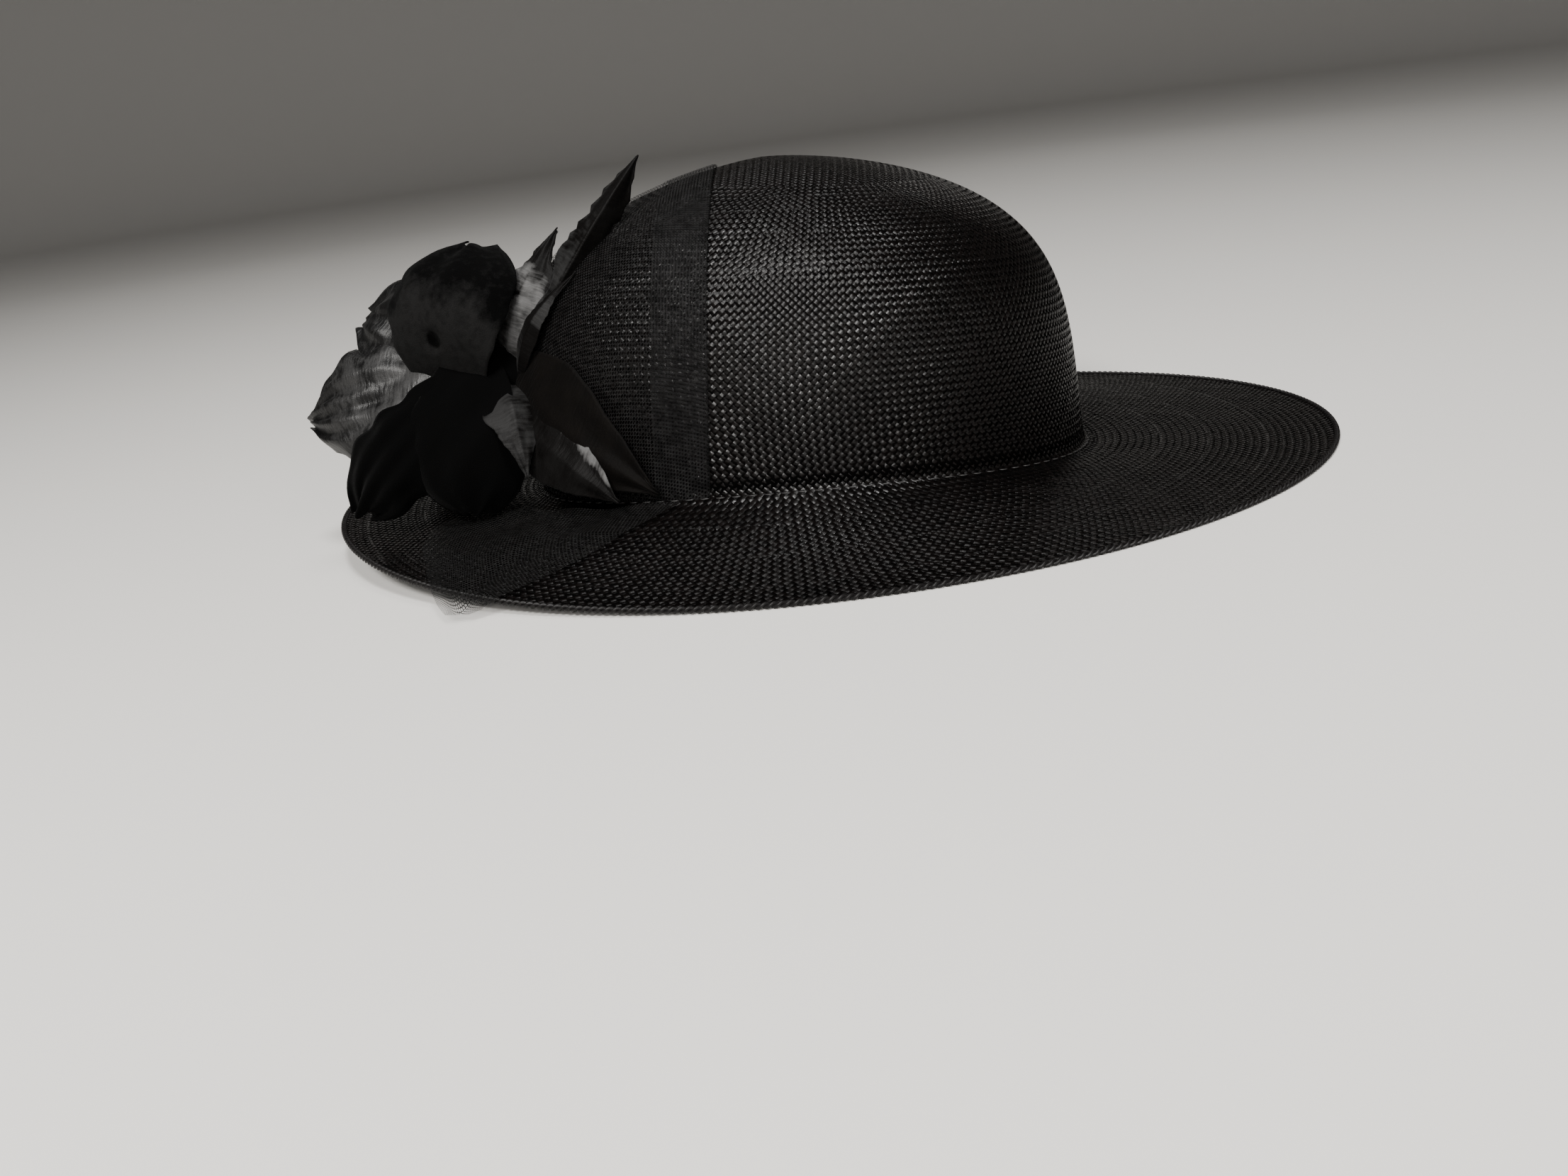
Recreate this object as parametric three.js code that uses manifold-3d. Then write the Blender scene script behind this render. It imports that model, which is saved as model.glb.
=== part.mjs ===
// A woven straw hat: a round crown, a wide brim with a rolled edge, a cloth rose with leaves, and a net veil.
// Millimetres, +Z up, +X to the front. The hat stands on its brim on the plane z = 0.
// Angles run round the hat from the front: 90 is the wearer's left, 180 the back, -90 the wearer's right.

import * as THREE from 'three';
import { mergeVertices } from 'three/addons/utils/BufferGeometryUtils.js';
import Module from 'manifold-3d';

const wasm = await Module();
wasm.setup();

// Driving dimensions of the straw
const BRIM_LENGTH = 382;
const BRIM_WIDTH = 292;
const CROWN_LENGTH = 210;
const CROWN_WIDTH = 179;
const CROWN_HEIGHT = 108.6;
const STRAW = 1.6;
const CLEARANCE = 0.3;

// The crown sits a little behind the brim's middle and leans back as it rises
const CROWN_SHIFT = -7.7;
const CROWN_LEAN = -0.039;
const CROWN_SIDE_POWER = 4.4;
const CROWN_TOP_POWER = 1.49;

// Height of the seam between crown and brim: its mean, how much lower it is in front, and at both ends
const SEAM_HEIGHT = 13.8;
const SEAM_FRONT_DIP = 4.3;
const SEAM_END_DIP = 5.3;

// The brim falls away from the seam and flares out level at its edge, which lifts only at the back
const BRIM_FLARE_POWER = 1.65;
const BACK_LIFT = 10.8;
const BACK_LIFT_POWER = 2.4;

// The rolled edge has a six-sided section with a flat underside
const ROLL_WIDTH = 3.2;
const ROLL_HEIGHT = 2.4;
const ROLL_SIDES = 6;

// The net: its cloth, its front edge across the crown, and the doubled hem behind that edge
const NET = 1.0;
const NET_GAP = 0.8;
const NET_EDGE_LOW = -43.5;
const NET_EDGE_SLOPE = 0.12;
const HEM_WIDTH = 19;
const HEM_EXTRA = 0.8;
const HEM_STEP = 0.03;

// The net's end on the brim, a row for each section from the rose to the tip past the edge:
// the angles and reaches of its two sides, with reach 0 at the seam and 1 at the brim's edge, and its lift
const BRIM_NET_SECTIONS = [
  { rightAngle: -114, rightReach: 0.07, leftAngle: -156, leftReach: 0.25, lift: 2.0 },
  { rightAngle: -117, rightReach: 0.14, leftAngle: -157, leftReach: 0.41, lift: 0.9 },
  { rightAngle: -120.5, rightReach: 0.29, leftAngle: -156, leftReach: 0.58, lift: 0.8 },
  { rightAngle: -123, rightReach: 0.56, leftAngle: -149, leftReach: 0.73, lift: 0.8 },
  { rightAngle: -124.5, rightReach: 0.75, leftAngle: -142, leftReach: 0.85, lift: 0.9 },
  { rightAngle: -125, rightReach: 0.90, leftAngle: -138, leftReach: 0.94, lift: 1.2 },
  { rightAngle: -125.5, rightReach: 1.00, leftAngle: -135, leftReach: 1.02, lift: 0.9 },
  { rightAngle: -126.5, rightReach: 1.07, leftAngle: -131.5, leftReach: 1.11, lift: -2.2 },
  { rightAngle: -127, rightReach: 1.12, leftAngle: -129, leftReach: 1.17, lift: -2.9 },
];
const BRIM_NET_PLEATS = 3;
const BRIM_NET_PLEAT_HEIGHT = 0.5;
const FLOOR_GAP = 0.3;

// The rose's heart: a rolled bud standing out from the crown's back
const HEART_BASE = [-102, -26, 55];
const HEART_TIP = [-127, -34, 62];
const HEART_SECTIONS = [
  { along: 0.0, radius: 9 },
  { along: 0.35, radius: 12 },
  { along: 0.7, radius: 12.5 },
  { along: 0.92, radius: 8.5 },
  { along: 1.0, radius: 3 },
];

// Petals and leaves, inner ones first. Each is a sheet from root to tip whose face looks to facing:
// bow lifts its middle to that side, cup its long edges, curl bends its outer rim back,
// crease folds it lengthwise and frill waves its rim
const BLOOM = 1.2;
const BLOOM_PIECES = [
  { name: 'petal_top', kind: 'petal', cloth: 'velvet', root: [-132, -35, 59], tip: [-120, -28, 108],
    facing: [-0.35, -0.93, 0.1], width: 47, neck: 0.5,
    bow: 15, cup: -8, curl: 3, crease: 0, frill: 0.8, waves: 3 },
  { name: 'petal_left_upper', kind: 'petal', cloth: 'satin', root: [-129, -31, 60], tip: [-168, -13, 83],
    facing: [-0.3, -0.9, 0.3], width: 49, neck: 0.45,
    bow: 5, cup: -4, curl: 2, crease: 0, frill: 1.6, waves: 4 },
  { name: 'petal_left_lower', kind: 'petal', cloth: 'satin', root: [-129, -34, 60], tip: [-191, -22, 53],
    facing: [-0.15, -0.85, 0.5], width: 40, neck: 0.4,
    bow: 7, cup: -3, curl: 2, crease: 0, frill: 2.0, waves: 5 },
  { name: 'petal_low_left', kind: 'petal', cloth: 'velvet', root: [-126, -38, 68], tip: [-169, -52, 27],
    facing: [-0.2, -0.95, 0.15], width: 44, neck: 0.5,
    bow: 10, cup: -6, curl: 3, crease: 0, frill: 1.2, waves: 4 },
  { name: 'petal_low_right', kind: 'petal', cloth: 'velvet', root: [-123, -39, 68], tip: [-129, -65, 21],
    facing: [-0.1, -0.97, 0.15], width: 46, neck: 0.5,
    bow: 8, cup: -4, curl: 2, crease: 0, frill: 0.8, waves: 3 },
  { name: 'petal_right', kind: 'petal', cloth: 'satin', root: [-114, -38, 60], tip: [-105, -68, 31],
    facing: [0.15, -0.93, 0.35], width: 21, neck: 0.6,
    bow: 7, cup: -2, curl: 1, crease: 0, frill: 0.6, waves: 3 },
  { name: 'petal_far_upper', kind: 'petal', cloth: 'velvet', root: [-126, -26, 63], tip: [-150, 15, 83],
    facing: [-0.5, 0.6, 0.6], width: 46, neck: 0.4,
    bow: 6, cup: -4, curl: 2, crease: 0, frill: 1.2, waves: 4 },
  { name: 'petal_far_middle', kind: 'petal', cloth: 'satin', root: [-127, -27, 60], tip: [-168, 16, 57],
    facing: [-0.6, -0.6, 0.3], width: 44, neck: 0.4,
    bow: 5, cup: -3, curl: 2, crease: 0, frill: 1.6, waves: 4 },
  { name: 'petal_far_lower', kind: 'petal', cloth: 'velvet', root: [-126, -26, 57], tip: [-152, 15, 27],
    facing: [-0.5, 0.7, -0.2], width: 46, neck: 0.4,
    bow: 6, cup: -4, curl: 2, crease: 0, frill: 1.2, waves: 4 },
  { name: 'leaf_second', kind: 'leaf', cloth: 'satin', root: [-114, -33, 58], tip: [-91, -24, 106],
    facing: [-0.7, -0.65, 0.25], width: 24, neck: 0.6,
    bow: 9, cup: 0, curl: 0, crease: -2, frill: 0.4, waves: 3 },
  { name: 'leaf_tall', kind: 'leaf', cloth: 'satin', root: [-108, -38, 61], tip: [-54, -31, 129],
    facing: [-0.5, -0.8, 0.35], width: 22, neck: 0.5,
    bow: 10, cup: 0, curl: 0, crease: -3, frill: 0, waves: 0 },
  { name: 'leaf_slim', kind: 'leaf', cloth: 'satin', root: [-108, -38, 58], tip: [-80, -46, 94],
    facing: [-0.6, -0.75, 0.3], width: 9, neck: 0.6,
    bow: 8, cup: 0, curl: 0, crease: -1, frill: 0, waves: 0 },
  { name: 'leaf_dark', kind: 'leaf', cloth: 'satin', root: [-110, -36, 62], tip: [-59, -86, 24],
    facing: [-0.55, -0.8, 0.25], width: 38, neck: 0.5,
    bow: 9, cup: 0, curl: 0, crease: -2, frill: 0.6, waves: 2 },
  { name: 'leaf_low', kind: 'leaf', cloth: 'satin', root: [-114, -42, 52], tip: [-72, -87, 23],
    facing: [-0.45, -0.85, 0.3], width: 28, neck: 0.6,
    bow: 5, cup: 0, curl: 0, crease: -3, frill: 0.4, waves: 2 },
];

// How finely the surfaces are faceted
const ROUND_STEPS = 60;
const CROWN_OUTER_ROWS = 12;
const CROWN_INNER_ROWS = 6;
const BRIM_ROWS = 4;
const NET_TOP_ROWS = 3;
const NET_COLUMNS = 22;
const HEM_COLUMNS = 2;
const BRIM_NET_COLUMNS = 12;
const HEART_SIDES = 12;
const PETAL_ROWS = 8;
const PETAL_COLUMNS = 6;
const LEAF_ROWS = 8;
const LEAF_COLUMNS = 4;
const SAME_POINT = 1e-4;

const FINISHES = {
  straw: { color: 0x1a1713, roughness: 0.45, metalness: 0 },
  roll: { color: 0x241f1a, roughness: 0.5, metalness: 0 },
  net: { color: 0x262422, roughness: 0.9, metalness: 0 },
  velvet: { color: 0x0d0c0c, roughness: 0.95, metalness: 0 },
  satin: { color: 0x2b2926, roughness: 0.35, metalness: 0 },
};

// Small helpers for points and numbers
const radians = THREE.MathUtils.degToRad;
const lerp = THREE.MathUtils.lerp;
const smooth = THREE.MathUtils.smoothstep;
const vector = (list) => new THREE.Vector3(...list);
const counted = (count, make) => Array.from({ length: count }, (_, index) => make(index));

// Collects triangles and turns them into one closed geometry whose faces point out
class Skin {
  constructor() {
    this.points = [];
  }

  triangle(a, b, c) {
    const shortest = Math.min(a.distanceTo(b), b.distanceTo(c), c.distanceTo(a));
    if (shortest > SAME_POINT) {
      this.points.push(a, b, c);
    }
  }

  quad(a, b, c, d) {
    this.triangle(a, b, c);
    this.triangle(a, c, d);
  }

  // The strip between two lines of points
  strip(from, to) {
    for (let i = 0; i + 1 < from.length; i += 1) {
      this.quad(from[i], from[i + 1], to[i + 1], to[i]);
    }
  }

  grid(rows) {
    for (let i = 0; i + 1 < rows.length; i += 1) {
      this.strip(rows[i], rows[i + 1]);
    }
  }

  geometry() {
    let volume = 0;
    for (let i = 0; i < this.points.length; i += 3) {
      const [a, b, c] = this.points.slice(i, i + 3);
      volume += a.dot(b.clone().cross(c));
    }
    const points = volume < 0 ? this.points.slice().reverse() : this.points;
    return mergeVertices(new THREE.BufferGeometry().setFromPoints(points), SAME_POINT);
  }
}

// Closes two grids that share their border into a wall; a ring has no side borders
function wall(outer, inner, ring) {
  const skin = new Skin();
  const first = (rows) => rows.map((row) => row[0]);
  const last = (rows) => rows.map((row) => row.at(-1));
  skin.grid(outer);
  skin.grid(inner.map((row) => row.slice().reverse()));
  skin.strip(inner[0], outer[0]);
  skin.strip(outer.at(-1), inner.at(-1));
  if (!ring) {
    skin.strip(first(outer), first(inner));
    skin.strip(last(inner), last(outer));
  }
  return skin.geometry();
}

// One full turn of points
function turn(make) {
  const points = counted(ROUND_STEPS, (step) => make((step / ROUND_STEPS) * 2 * Math.PI));
  return [...points, points[0]];
}

// The seam and the brim's edge, and the brim's middle surface between them
function seamHeight(angle) {
  return SEAM_HEIGHT - SEAM_FRONT_DIP * Math.cos(angle) - SEAM_END_DIP * Math.cos(2 * angle);
}

function edgeHeight(angle) {
  return ROLL_HEIGHT / 2 + BACK_LIFT * Math.max(0, -Math.cos(angle)) ** BACK_LIFT_POWER;
}

function brimPoint(angle, reach, seamInset = 0, edgeInset = 0) {
  const seamX = CROWN_SHIFT + (CROWN_LENGTH / 2 - seamInset) * Math.cos(angle);
  const seamY = (CROWN_WIDTH / 2 - seamInset) * Math.sin(angle);
  const edgeX = (BRIM_LENGTH / 2 - edgeInset) * Math.cos(angle);
  const edgeY = (BRIM_WIDTH / 2 - edgeInset) * Math.sin(angle);
  const drop = 1 - Math.max(0, 1 - reach) ** BRIM_FLARE_POWER;
  return new THREE.Vector3(
    lerp(seamX, edgeX, reach),
    lerp(seamY, edgeY, reach),
    lerp(seamHeight(angle), edgeHeight(angle), drop),
  );
}

// A point of the crown's dome: climb runs from 0 at the seam to 1 at the top, offset moves it off the outside
function crownPoint(climb, angle, offset) {
  const share = Math.max(0, 1 - climb ** CROWN_SIDE_POWER) ** (1 / CROWN_TOP_POWER);
  const foot = seamHeight(angle) + STRAW / 2 + CLEARANCE;
  const z = lerp(foot, SEAM_HEIGHT + CROWN_HEIGHT + offset, climb);
  const axis = CROWN_SHIFT + CROWN_LEAN * (z - SEAM_HEIGHT);
  const x = axis + (CROWN_LENGTH / 2 + offset) * share * Math.cos(angle);
  const y = (CROWN_WIDTH / 2 + offset) * share * Math.sin(angle);
  return new THREE.Vector3(x, y, z);
}

// Rows of the dome lie closer together towards the top
function crownClimb(row, count) {
  return row === count ? 1 : Math.sin(((row / count) * Math.PI) / 2);
}

function crownRows(count, offset) {
  return counted(count + 1, (row) => turn((angle) => crownPoint(crownClimb(row, count), angle, offset)));
}

function crownGeometry(grow = 0) {
  return wall(crownRows(CROWN_OUTER_ROWS, grow), crownRows(CROWN_INNER_ROWS, -STRAW - grow), true);
}

// The brim runs from under the crown's wall to the inner side of its rolled edge
function brimGeometry(grow = 0) {
  const surface = (side) => counted(BRIM_ROWS + 1, (row) => turn((angle) => {
    const point = brimPoint(angle, row / BRIM_ROWS, STRAW, ROLL_WIDTH + CLEARANCE);
    point.z += side * (STRAW / 2 + grow);
    return point;
  }));
  return wall(surface(1), surface(-1), true);
}

// The rolled edge: the section's corners swept round the brim's outline
function rollGeometry() {
  const corners = counted(ROLL_SIDES, (corner) => {
    const angle = (corner / ROLL_SIDES) * 2 * Math.PI;
    const up = Math.sign(Math.round(Math.sin(angle) * ROLL_SIDES)) * (ROLL_HEIGHT / 2);
    return { out: (Math.cos(angle) * ROLL_WIDTH) / 2, up };
  });
  const skin = new Skin();
  const rings = [...corners, corners[0]].map((corner) => turn((angle) => {
    const x = (BRIM_LENGTH / 2 - ROLL_WIDTH / 2 + corner.out) * Math.cos(angle);
    const y = (BRIM_WIDTH / 2 - ROLL_WIDTH / 2 + corner.out) * Math.sin(angle);
    return new THREE.Vector3(x, y, edgeHeight(angle) + corner.up);
  }));
  skin.grid(rings);
  return skin.geometry();
}

// The angle at which a row of the crown reaches the net's front edge, or the line behind its hem
function netEdgeAngle(climb, behind) {
  const back = crownPoint(climb, Math.PI, 0);
  const front = crownPoint(climb, 0, 0);
  const edge = NET_EDGE_LOW + NET_EDGE_SLOPE * back.z - behind;
  const middle = (front.x + back.x) / 2;
  const half = Math.max(SAME_POINT, (front.x - back.x) / 2);
  return Math.acos(THREE.MathUtils.clamp((edge - middle) / half, -1, 1));
}

// The highest row that the net's front edge, or the line behind its hem, still crosses
function netTopClimb(behind) {
  let low = 0;
  let high = 1;
  while (high - low > SAME_POINT) {
    const middle = (low + high) / 2;
    if (netEdgeAngle(middle, behind) < Math.PI) {
      low = middle;
    } else {
      high = middle;
    }
  }
  return low;
}

function crownNetGeometry(grow = 0) {
  const top = netTopClimb(0);
  const hemTop = netTopClimb(HEM_WIDTH);
  const closing = (from, to) => counted(NET_TOP_ROWS, (row) => {
    const left = 1 - (row + 1) / NET_TOP_ROWS;
    return lerp(to, from, left * left);
  });
  const crownClimbs = counted(CROWN_OUTER_ROWS, (row) => crownClimb(row, CROWN_OUTER_ROWS));
  const lower = crownClimbs.filter((climb) => climb < hemTop);
  const climbs = [...lower, ...closing(lower.at(-1), hemTop), ...closing(hemTop, top)];
  const rows = climbs.map((climb) => {
    const edge = climb === top ? Math.PI : netEdgeAngle(climb, 0);
    const hem = climb < hemTop ? netEdgeAngle(climb, HEM_WIDTH) : Math.PI;
    const near = counted(HEM_COLUMNS + 1, (step) => (
      { angle: lerp(edge, hem, step / HEM_COLUMNS), extra: HEM_EXTRA }));
    const allHem = Math.PI - hem < SAME_POINT;
    const middle = counted(NET_COLUMNS + 1, (step) => {
      const share = lerp(HEM_STEP, 1 - HEM_STEP, step / NET_COLUMNS);
      return { angle: lerp(hem, 2 * Math.PI - hem, share), extra: allHem ? HEM_EXTRA : 0 };
    });
    const far = near.map((point) => ({ angle: 2 * Math.PI - point.angle, extra: HEM_EXTRA })).reverse();
    return [...near, ...middle, ...far].map((point) => ({ ...point, climb }));
  });
  const lift = (offset) => rows.map((row) => row.map((point) => (
    crownPoint(point.climb, point.angle, NET_GAP + offset + (offset > 0 ? point.extra : 0)))));
  return wall(lift(NET + grow), lift(-grow), false);
}

// A cloth sheet of even thickness round a grid of points; grow widens it all round
function sheet(grid, thickness, grow = 0) {
  const rows = grid.length - 1;
  const columns = grid[0].length - 1;
  const at = (i, j) => grid[Math.min(rows, Math.max(0, i))][Math.min(columns, Math.max(0, j))];
  const across = (i, j) => at(i, j + 1).clone().sub(at(i, j - 1));
  const along = (i, j) => at(i + 1, j).clone().sub(at(i - 1, j));
  const side = (sign) => grid.map((row, i) => row.map((point, j) => {
    const moved = point.clone();
    const rowEnd = (i === rows) - (i === 0);
    const columnEnd = (j === columns) - (j === 0);
    moved.addScaledVector(along(i, j).normalize(), grow * rowEnd);
    moved.addScaledVector(across(i, j).normalize(), grow * columnEnd);
    const normal = across(i, j).cross(along(i, j)).normalize();
    return moved.addScaledVector(normal, sign * (thickness / 2 + grow));
  }));
  return wall(side(1), side(-1), false);
}

// The net's end on the brim: straight between the two sides of each section, with soft pleats
function brimNetGeometry(grow = 0) {
  const grid = BRIM_NET_SECTIONS.map((section) => counted(BRIM_NET_COLUMNS + 1, (column) => {
    const share = column / BRIM_NET_COLUMNS;
    const angle = radians(lerp(section.rightAngle, section.leftAngle, share));
    const point = brimPoint(angle, lerp(section.rightReach, section.leftReach, share));
    const pleat = BRIM_NET_PLEAT_HEIGHT * (1 - Math.cos(2 * Math.PI * BRIM_NET_PLEATS * share));
    point.z += STRAW / 2 + NET / 2 + section.lift + (section.lift > 0 ? pleat : 0);
    point.z = Math.max(point.z, NET / 2 + FLOOR_GAP);
    return point;
  }));
  return sheet(grid, NET, grow);
}

// The heart: rings about its axis, closed at both ends
function heartGeometry(grow = 0) {
  const base = vector(HEART_BASE);
  const axis = vector(HEART_TIP).sub(base);
  const side = new THREE.Vector3(0, 0, 1).cross(axis).normalize();
  const up = axis.clone().cross(side).normalize();
  const skin = new Skin();
  const rings = HEART_SECTIONS.map((section) => {
    const points = counted(HEART_SIDES, (step) => {
      const angle = (step / HEART_SIDES) * 2 * Math.PI;
      const radius = section.radius + grow;
      return base.clone().addScaledVector(axis, section.along)
        .addScaledVector(side, radius * Math.cos(angle))
        .addScaledVector(up, radius * Math.sin(angle));
    });
    return [...points, points[0]];
  });
  const cap = (along) => counted(HEART_SIDES + 1, () => base.clone().addScaledVector(axis, along));
  skin.grid([cap(-grow / axis.length()), ...rings, cap(1 + grow / axis.length())]);
  return skin.geometry();
}

// Half width of a petal or leaf along its length, as a share of its widest
const OUTLINES = {
  petal: { widest: 0.62, blunt: 0.25, power: 2 },
  leaf: { widest: 0.4, blunt: 0.05, power: 1.5 },
};

// Where a petal's rim begins to curl: near its end, near its sides, and clear of its neck
const RIM = { endFrom: 0.75, sideFrom: 0.6, neckFrom: 0.2, neckTo: 0.6 };

function halfWidth(piece, along) {
  const outline = OUTLINES[piece.kind];
  const opening = Math.sin((Math.min(along / outline.widest, 1) * Math.PI) / 2);
  const past = Math.max(0, (along - outline.widest) / (1 - outline.widest));
  const closing = piece.kind === 'petal' ? Math.sqrt(1 - past ** outline.power) : 1 - past ** outline.power;
  return (piece.width / 2) * lerp(piece.neck, 1, opening) * Math.max(outline.blunt, closing);
}

function bloomGeometry(piece, grow = 0) {
  const root = vector(piece.root);
  const axis = vector(piece.tip).sub(root);
  const ahead = axis.clone().normalize();
  const facing = vector(piece.facing).projectOnPlane(ahead).normalize();
  const sideways = ahead.clone().cross(facing);
  const rows = piece.kind === 'petal' ? PETAL_ROWS : LEAF_ROWS;
  const columns = piece.kind === 'petal' ? PETAL_COLUMNS : LEAF_COLUMNS;
  const grid = counted(rows + 1, (i) => counted(columns + 1, (j) => {
    const along = i / rows;
    const across = (2 * j) / columns - 1;
    const endRim = smooth(along, RIM.endFrom, 1);
    const sideRim = smooth(Math.abs(across), RIM.sideFrom, 1) * smooth(along, RIM.neckFrom, RIM.neckTo);
    const rim = Math.max(endRim, sideRim);
    const wave = Math.sin(Math.PI * piece.waves * across + along) * along * along;
    const lift = piece.bow * 4 * along * (1 - along) + piece.cup * across * across * along
      + piece.crease * Math.abs(across) + piece.frill * wave - piece.curl * rim;
    return root.clone().addScaledVector(axis, along)
      .addScaledVector(sideways, across * halfWidth(piece, along))
      .addScaledVector(facing, lift);
  }));
  return sheet(grid, BLOOM, grow);
}

// Boolean cuts between closed geometries
function toSolid(geometry) {
  const vertProperties = new Float32Array(geometry.attributes.position.array);
  const triVerts = new Uint32Array(geometry.index.array);
  return new wasm.Manifold(new wasm.Mesh({ numProp: 3, vertProperties, triVerts }));
}

function toGeometry(solid) {
  const mesh = solid.getMesh();
  const geometry = new THREE.BufferGeometry();
  geometry.setAttribute('position', new THREE.BufferAttribute(new Float32Array(mesh.vertProperties), 3));
  geometry.setIndex(new THREE.BufferAttribute(new Uint32Array(mesh.triVerts), 1));
  return geometry;
}

// Cuts a piece where it meets others, and keeps its main body
function carve(geometry, cutters) {
  const cut = cutters.reduce((solid, cutter) => solid.subtract(toSolid(cutter)), toSolid(geometry));
  const bodies = cut.decompose();
  return toGeometry(bodies.reduce((best, body) => (body.volume() > best.volume() ? body : best)));
}

// The hat, straw first, then net, then the rose from its heart outwards
const hat = new THREE.Group();

function add(name, geometry, finish) {
  const material = new THREE.MeshStandardMaterial(FINISHES[finish]);
  const mesh = new THREE.Mesh(geometry, material);
  mesh.name = name;
  hat.add(mesh);
}

add('crown', crownGeometry(), 'straw');
add('brim', brimGeometry(), 'straw');
add('brim_roll', rollGeometry(), 'roll');
add('crown_net', crownNetGeometry(), 'net');
add('brim_net', brimNetGeometry(), 'net');

const around = [
  crownGeometry(CLEARANCE),
  brimGeometry(CLEARANCE),
  crownNetGeometry(CLEARANCE),
  brimNetGeometry(CLEARANCE),
];
add('rose_heart', carve(heartGeometry(), around), 'velvet');
around.push(heartGeometry(CLEARANCE));
for (const piece of BLOOM_PIECES) {
  add(piece.name, carve(bloomGeometry(piece), around), piece.cloth);
  around.push(bloomGeometry(piece, CLEARANCE));
}

// The origin lies under the middle of the hat's box, on the plane that it stands on
const box = new THREE.Box3().setFromObject(hat);
const middle = box.getCenter(new THREE.Vector3());
hat.position.set(-middle.x, -middle.y, -box.min.z);

export default hat;
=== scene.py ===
import math

import bpy
import numpy as np
from mathutils import Matrix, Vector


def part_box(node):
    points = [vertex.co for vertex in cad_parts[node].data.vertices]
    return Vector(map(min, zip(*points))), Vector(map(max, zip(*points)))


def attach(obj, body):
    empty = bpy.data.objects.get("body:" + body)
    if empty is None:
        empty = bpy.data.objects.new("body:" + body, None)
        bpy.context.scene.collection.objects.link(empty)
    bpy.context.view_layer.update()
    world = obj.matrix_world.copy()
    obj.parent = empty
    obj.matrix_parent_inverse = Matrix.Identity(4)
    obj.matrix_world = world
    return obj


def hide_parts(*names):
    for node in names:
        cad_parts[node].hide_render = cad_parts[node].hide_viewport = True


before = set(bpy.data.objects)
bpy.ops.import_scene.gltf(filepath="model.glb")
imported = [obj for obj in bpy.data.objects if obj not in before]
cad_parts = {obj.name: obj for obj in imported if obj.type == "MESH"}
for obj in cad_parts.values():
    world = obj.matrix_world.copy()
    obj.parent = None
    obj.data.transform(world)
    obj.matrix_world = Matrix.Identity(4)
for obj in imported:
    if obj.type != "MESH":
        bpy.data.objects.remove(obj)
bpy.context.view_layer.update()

# Crown: a deep dome of flat glossy black straw, two slanting sets of strands woven over and under each other.
# It starts as a square mat at the tip, and rings of new strands join in as it widens down to the seam.
# Black sizing stiffens it, and a thin black film in the middle of the weave stands for it: the film fills the
# gaps with painted shade. Sizes are in millimetres, which mesh_piece turns into metres.
MM = 0.001
MIDDLE_X = (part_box("brim")[0].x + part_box("brim")[1].x) / 2
CROWN_LENGTH = 210
CROWN_WIDTH = 179
CROWN_HEIGHT = 108.6
CROWN_SHIFT = -7.7
CROWN_LEAN = -0.039
CROWN_SIDE_POWER = 4.4
CROWN_TOP_POWER = 1.49
SEAM_HEIGHT = 13.8
SEAM_FRONT_DIP = 4.3
SEAM_END_DIP = 5.3
STRAW = 1.6
CROWN_FOOT = 0.5
FOOT_FLARE = 0.8
FOOT_RISE = 5.0
CROWN_RADIUS = (CROWN_LENGTH + CROWN_WIDTH) / 4
CROWN_SAMPLES = 4001
SEAM_SAMPLES = 2001
CROWN_RINGS = [(97.25, 0.35), (84.0, 0.37), (71.5, 0.39), (61.0, 0.41), (52.0, 0.42), (44.5, 0.43)]
TIP_FORWARD = 16.0
STRAW_PITCH = 2.0
TIP_PITCH = 0.9 * STRAW_PITCH
TIP_FLATNESS = 0.9
TIP_EASE = 1.5
STRAW_WAVE = 0.2
WAVE_SPREAD = (0.86, 1.08)
WIDTH_SPREAD = (0.9, 1.06)
LINE_SPREAD = 0.04
STRAND_STEP = 0.5
STRAND_END_GAP = 0.2
SHORTEST_STRAND = 2 * STRAW_PITCH
STRAW_TOP = 0.16
STRAW_KEEL = -0.2
STRAW_ROLL = 0.06
STRAW_TUCK = 0.2
TUCK_RUN = 0.7
RING_LAP = 0.8
RING_REACH = 120
RING_STEP = STRAW_PITCH / 4
FLAT_EDGE = 60
FILM_ROWS = 26
FILM_SIDES = 96
FILM_REACH = 0.995
FILM_DEPTH = 0.12
FILM = 0.1
SIZING_SHADE_ROUGH = 0.8
SIZING_SHADE_GLOSS = 0.03
FLOAT_SWELL = 0.16
STRAND_SWELL = 0.07
FIBRE_SWELL = 0.06
FIBRE_SCALES = (5, 0.7, 40)
FIBRE_DETAIL = 3.0
BROWN_BY_TONE, BROWN_BY_FIBRE, BROWN_LESS = 0.5, 0.6, 0.2
CROWN_ROUGH = 0.17
ROUGH_BY_FIBRE, ROUGH_BY_TONE = 0.1, 0.06
STRAW_GLOSS = 0.17
STRAW_BLACK = (0.0007, 0.0006, 0.0006)
STRAW_BROWN = (0.003, 0.0021, 0.0019)


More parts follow.
